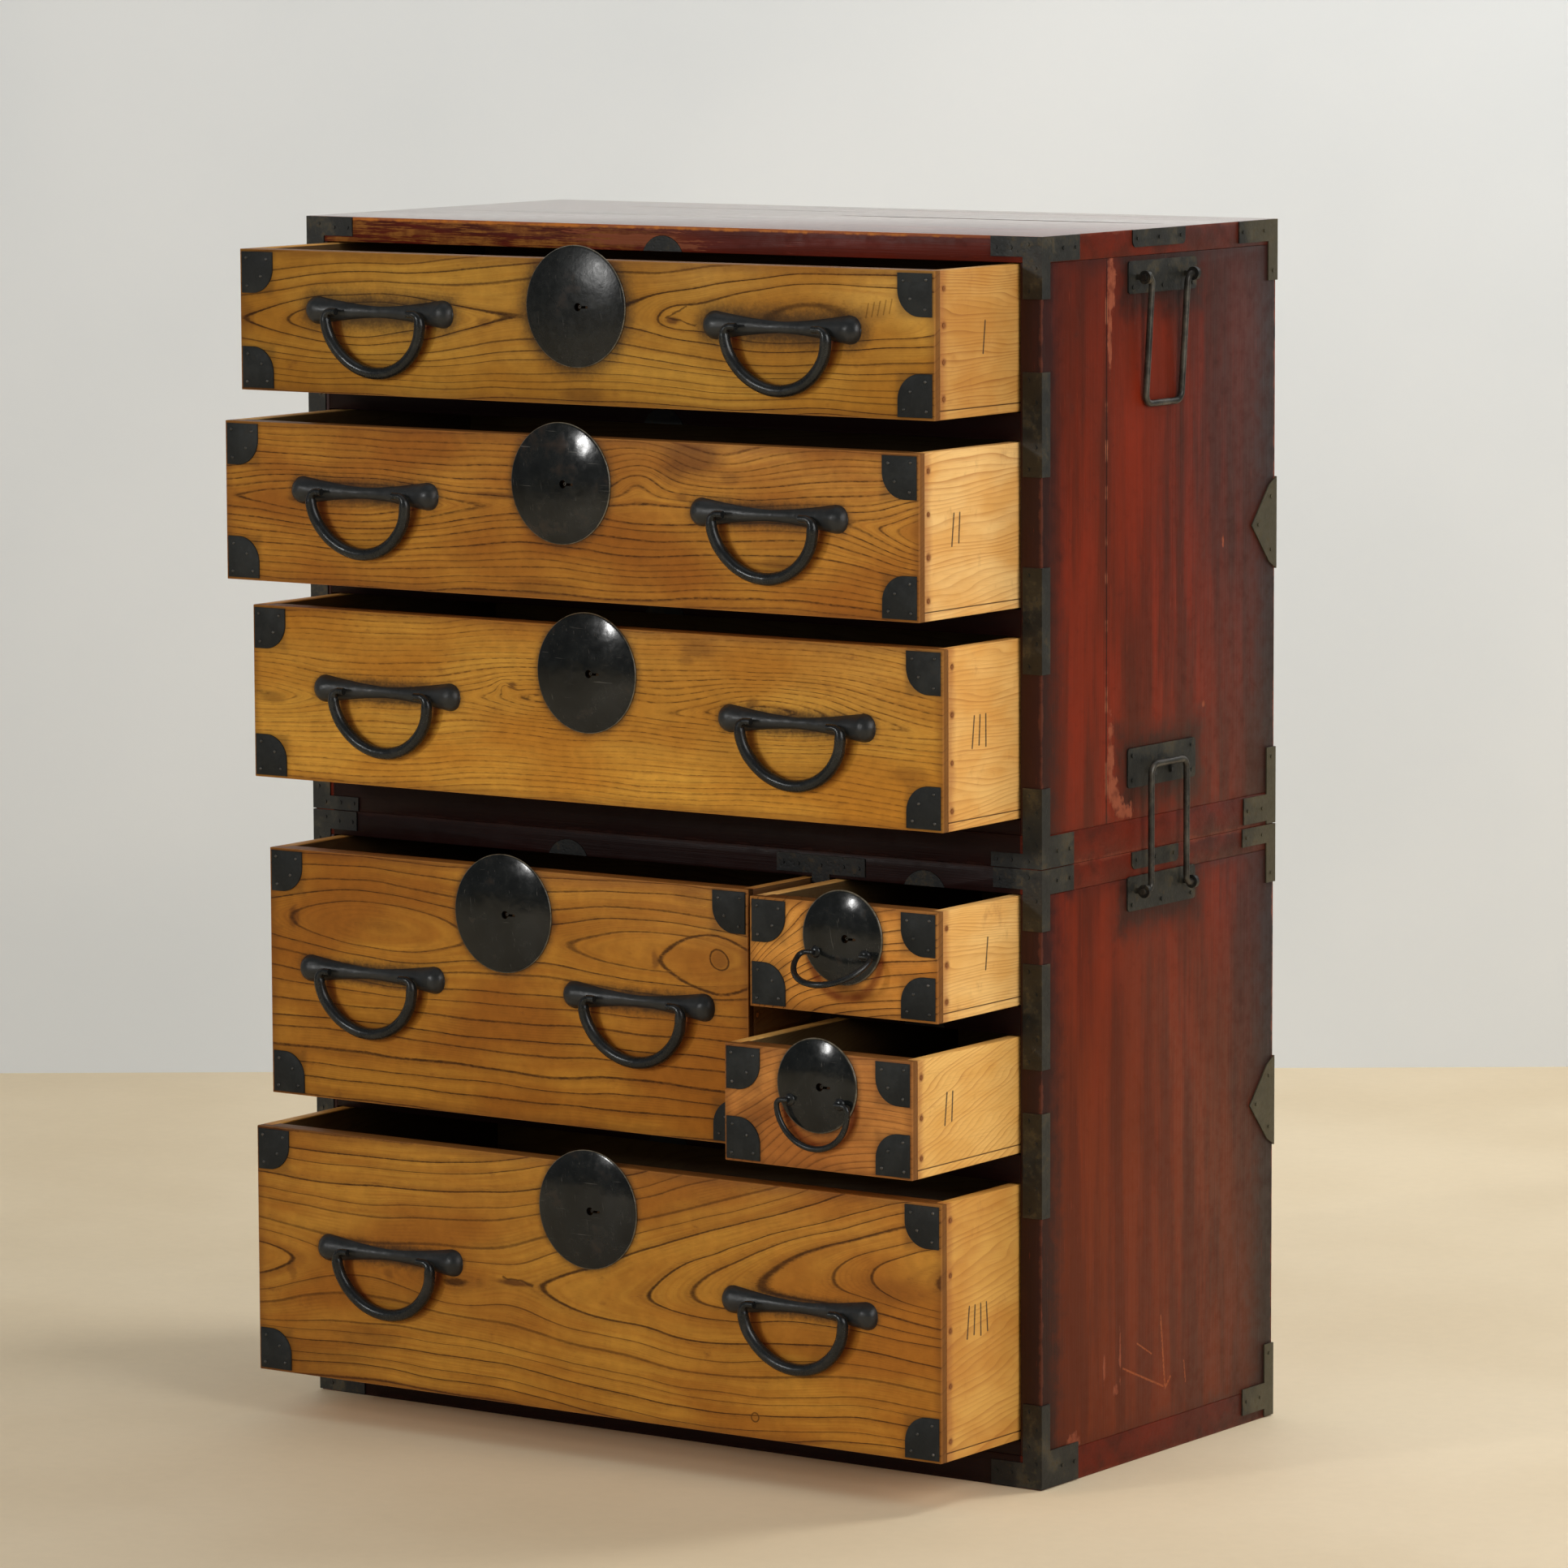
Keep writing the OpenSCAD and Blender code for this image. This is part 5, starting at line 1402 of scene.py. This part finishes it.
def wall_material():
    n = Net("wall_plain")
    X, Y, Z = n.xyz()
    q = n.noise(X * (1 / 700.0), Y * (1 / 700.0), Z * (1 / 700.0), 3.0, 0.5)
    c = n.mix(n.smooth(q, 0.3, 0.7), lin(222, 225, 226), lin(214, 218, 220))
    mat = n.done(c, 0.85, None, spec=0.2)
    # clear from behind, so that the wall hides nothing when the object is looked at from the back
    out = next(nd for nd in n.tree.nodes if nd.bl_idname == "ShaderNodeOutputMaterial")
    lit = out.inputs[0].links[0].from_socket
    turned = n.tree.nodes.new("ShaderNodeNewGeometry").outputs["Backfacing"]
    clear = n.tree.nodes.new("ShaderNodeBsdfTransparent")
    both = n.tree.nodes.new("ShaderNodeMixShader")
    n.tree.links.new(turned, both.inputs[0])
    n.tree.links.new(lit, both.inputs[1])
    n.tree.links.new(clear.outputs[0], both.inputs[2])
    n.tree.links.new(both.outputs[0], out.inputs[0])
    return mat


def plane(name, corners, mat):
    bm = bmesh.new()
    vs = [bm.verts.new(Vector(c)) for c in corners]
    bm.faces.new(vs)
    bmesh.ops.subdivide_edges(bm, edges=bm.edges, cuts=3, use_grid_fill=True)
    ob = new_object(name, bm, [mat], 30.0)
    return ob


plane("floor", [(-7, -8, 0), (7, -8, 0), (7, 8, 0), (-7, 8, 0)], floor_material())

az, el, roll = math.radians(34.77), math.radians(6.97), math.radians(-0.235)
fw = Vector((-math.sin(az) * math.cos(el), math.cos(az) * math.cos(el), -math.sin(el)))
rt = Vector((math.cos(az), math.sin(az), 0.0))
upv = rt.cross(fw)
r2 = rt * math.cos(roll) + upv * math.sin(roll)
u2 = upv * math.cos(roll) - rt * math.sin(roll)
cam_data = bpy.data.cameras.new("camera")
cam_data.sensor_width = 36.0
cam_data.lens = 9180.0 / 1932.0 * 36.0
cam_data.clip_start = 0.1
cam_data.clip_end = 60.0
cam = bpy.data.objects.new("camera", cam_data)
bpy.context.scene.collection.objects.link(cam)
m = Matrix((r2, u2, -fw)).transposed().to_4x4()
m.translation = Vector((3.526, -5.087, 1.283))
cam.matrix_world = m
bpy.context.scene.camera = cam

# the wall stands square to the view, behind the chest, where the photograph has it
flat_fw = Vector((-math.sin(az), math.cos(az), 0.0))
wall_at = flat_fw * 1.76
side = rt
base = Vector((0.0, 0.0, 0.0)) + wall_at
c0 = base - side * 6.0
c1 = base + side * 6.0
plane("wall", [c0, c1, c1 + Vector((0, 0, 4.5)), c0 + Vector((0, 0, 4.5))], wall_material())


def area(name, at, to, size, power, colour, size_y=None, mirrored=True):
    li = bpy.data.lights.new(name, "AREA")
    li.energy = power
    li.color = colour
    li.shape = "RECTANGLE"
    li.size = size
    li.size_y = size_y or size
    ob = bpy.data.objects.new(name, li)
    bpy.context.scene.collection.objects.link(ob)
    ob.location = at
    d = Vector(to) - Vector(at)
    ob.rotation_euler = d.to_track_quat("-Z", "Y").to_euler()
    ob.visible_glossy = mirrored
    return ob


def polar(azd, eld, dist, target=(0, -0.1, 0.5)):
    a, e = math.radians(azd), math.radians(eld)
    return (target[0] + dist * math.sin(a) * math.cos(e), target[1] - dist * math.cos(a) * math.cos(e), target[2] + dist * math.sin(e))


area("key_window", polar(-22, 14.5, 6.5), (0, -0.1, 0.55), 0.28, 84.0, (1.0, 0.99, 0.97), 0.60)
area("front_soft", polar(-4, 15, 3.8), (0, 0, 0.5), 3.0, 44.0, (1.0, 0.99, 0.97), 2.2, False)
area("side_soft", polar(78, 20, 3.4), (0.2, 0, 0.5), 2.0, 60.0, (1.0, 0.98, 0.96), 2.0)
area("top_soft", (0.2, 0.0, 3.2), (0, 0, 0.5), 3.0, 10.0, (1.0, 1.0, 1.0), 2.4)
area("wall_wash", tuple(flat_fw * 0.7 + rt * 2.2 + Vector((0, 0, 3.0))), tuple(flat_fw * 3.0 + rt * 0.6 + Vector((0, 0, 0.9))), 2.0, 66.0, (1.0, 1.0, 1.0), 1.0, False)

world = bpy.data.worlds.new("room")
world.use_nodes = True
bg = world.node_tree.nodes["Background"]
bg.inputs[0].default_value = (0.80, 0.84, 0.88, 1.0)
bg.inputs[1].default_value = 0.14
# the room past the wall's ends looks as pale as the wall, without adding light
wt = world.node_tree
far = wt.nodes.new("ShaderNodeBackground")
far.inputs[0].default_value = (0.69, 0.70, 0.69, 1.0)
path = wt.nodes.new("ShaderNodeLightPath")
room = wt.nodes.new("ShaderNodeMixShader")
wt.links.new(path.outputs["Is Camera Ray"], room.inputs[0])
wt.links.new(bg.outputs[0], room.inputs[1])
wt.links.new(far.outputs[0], room.inputs[2])
wt.links.new(room.outputs[0], wt.nodes["World Output"].inputs[0])
bpy.context.scene.world = world
bpy.context.scene.view_settings.view_transform = "Standard"
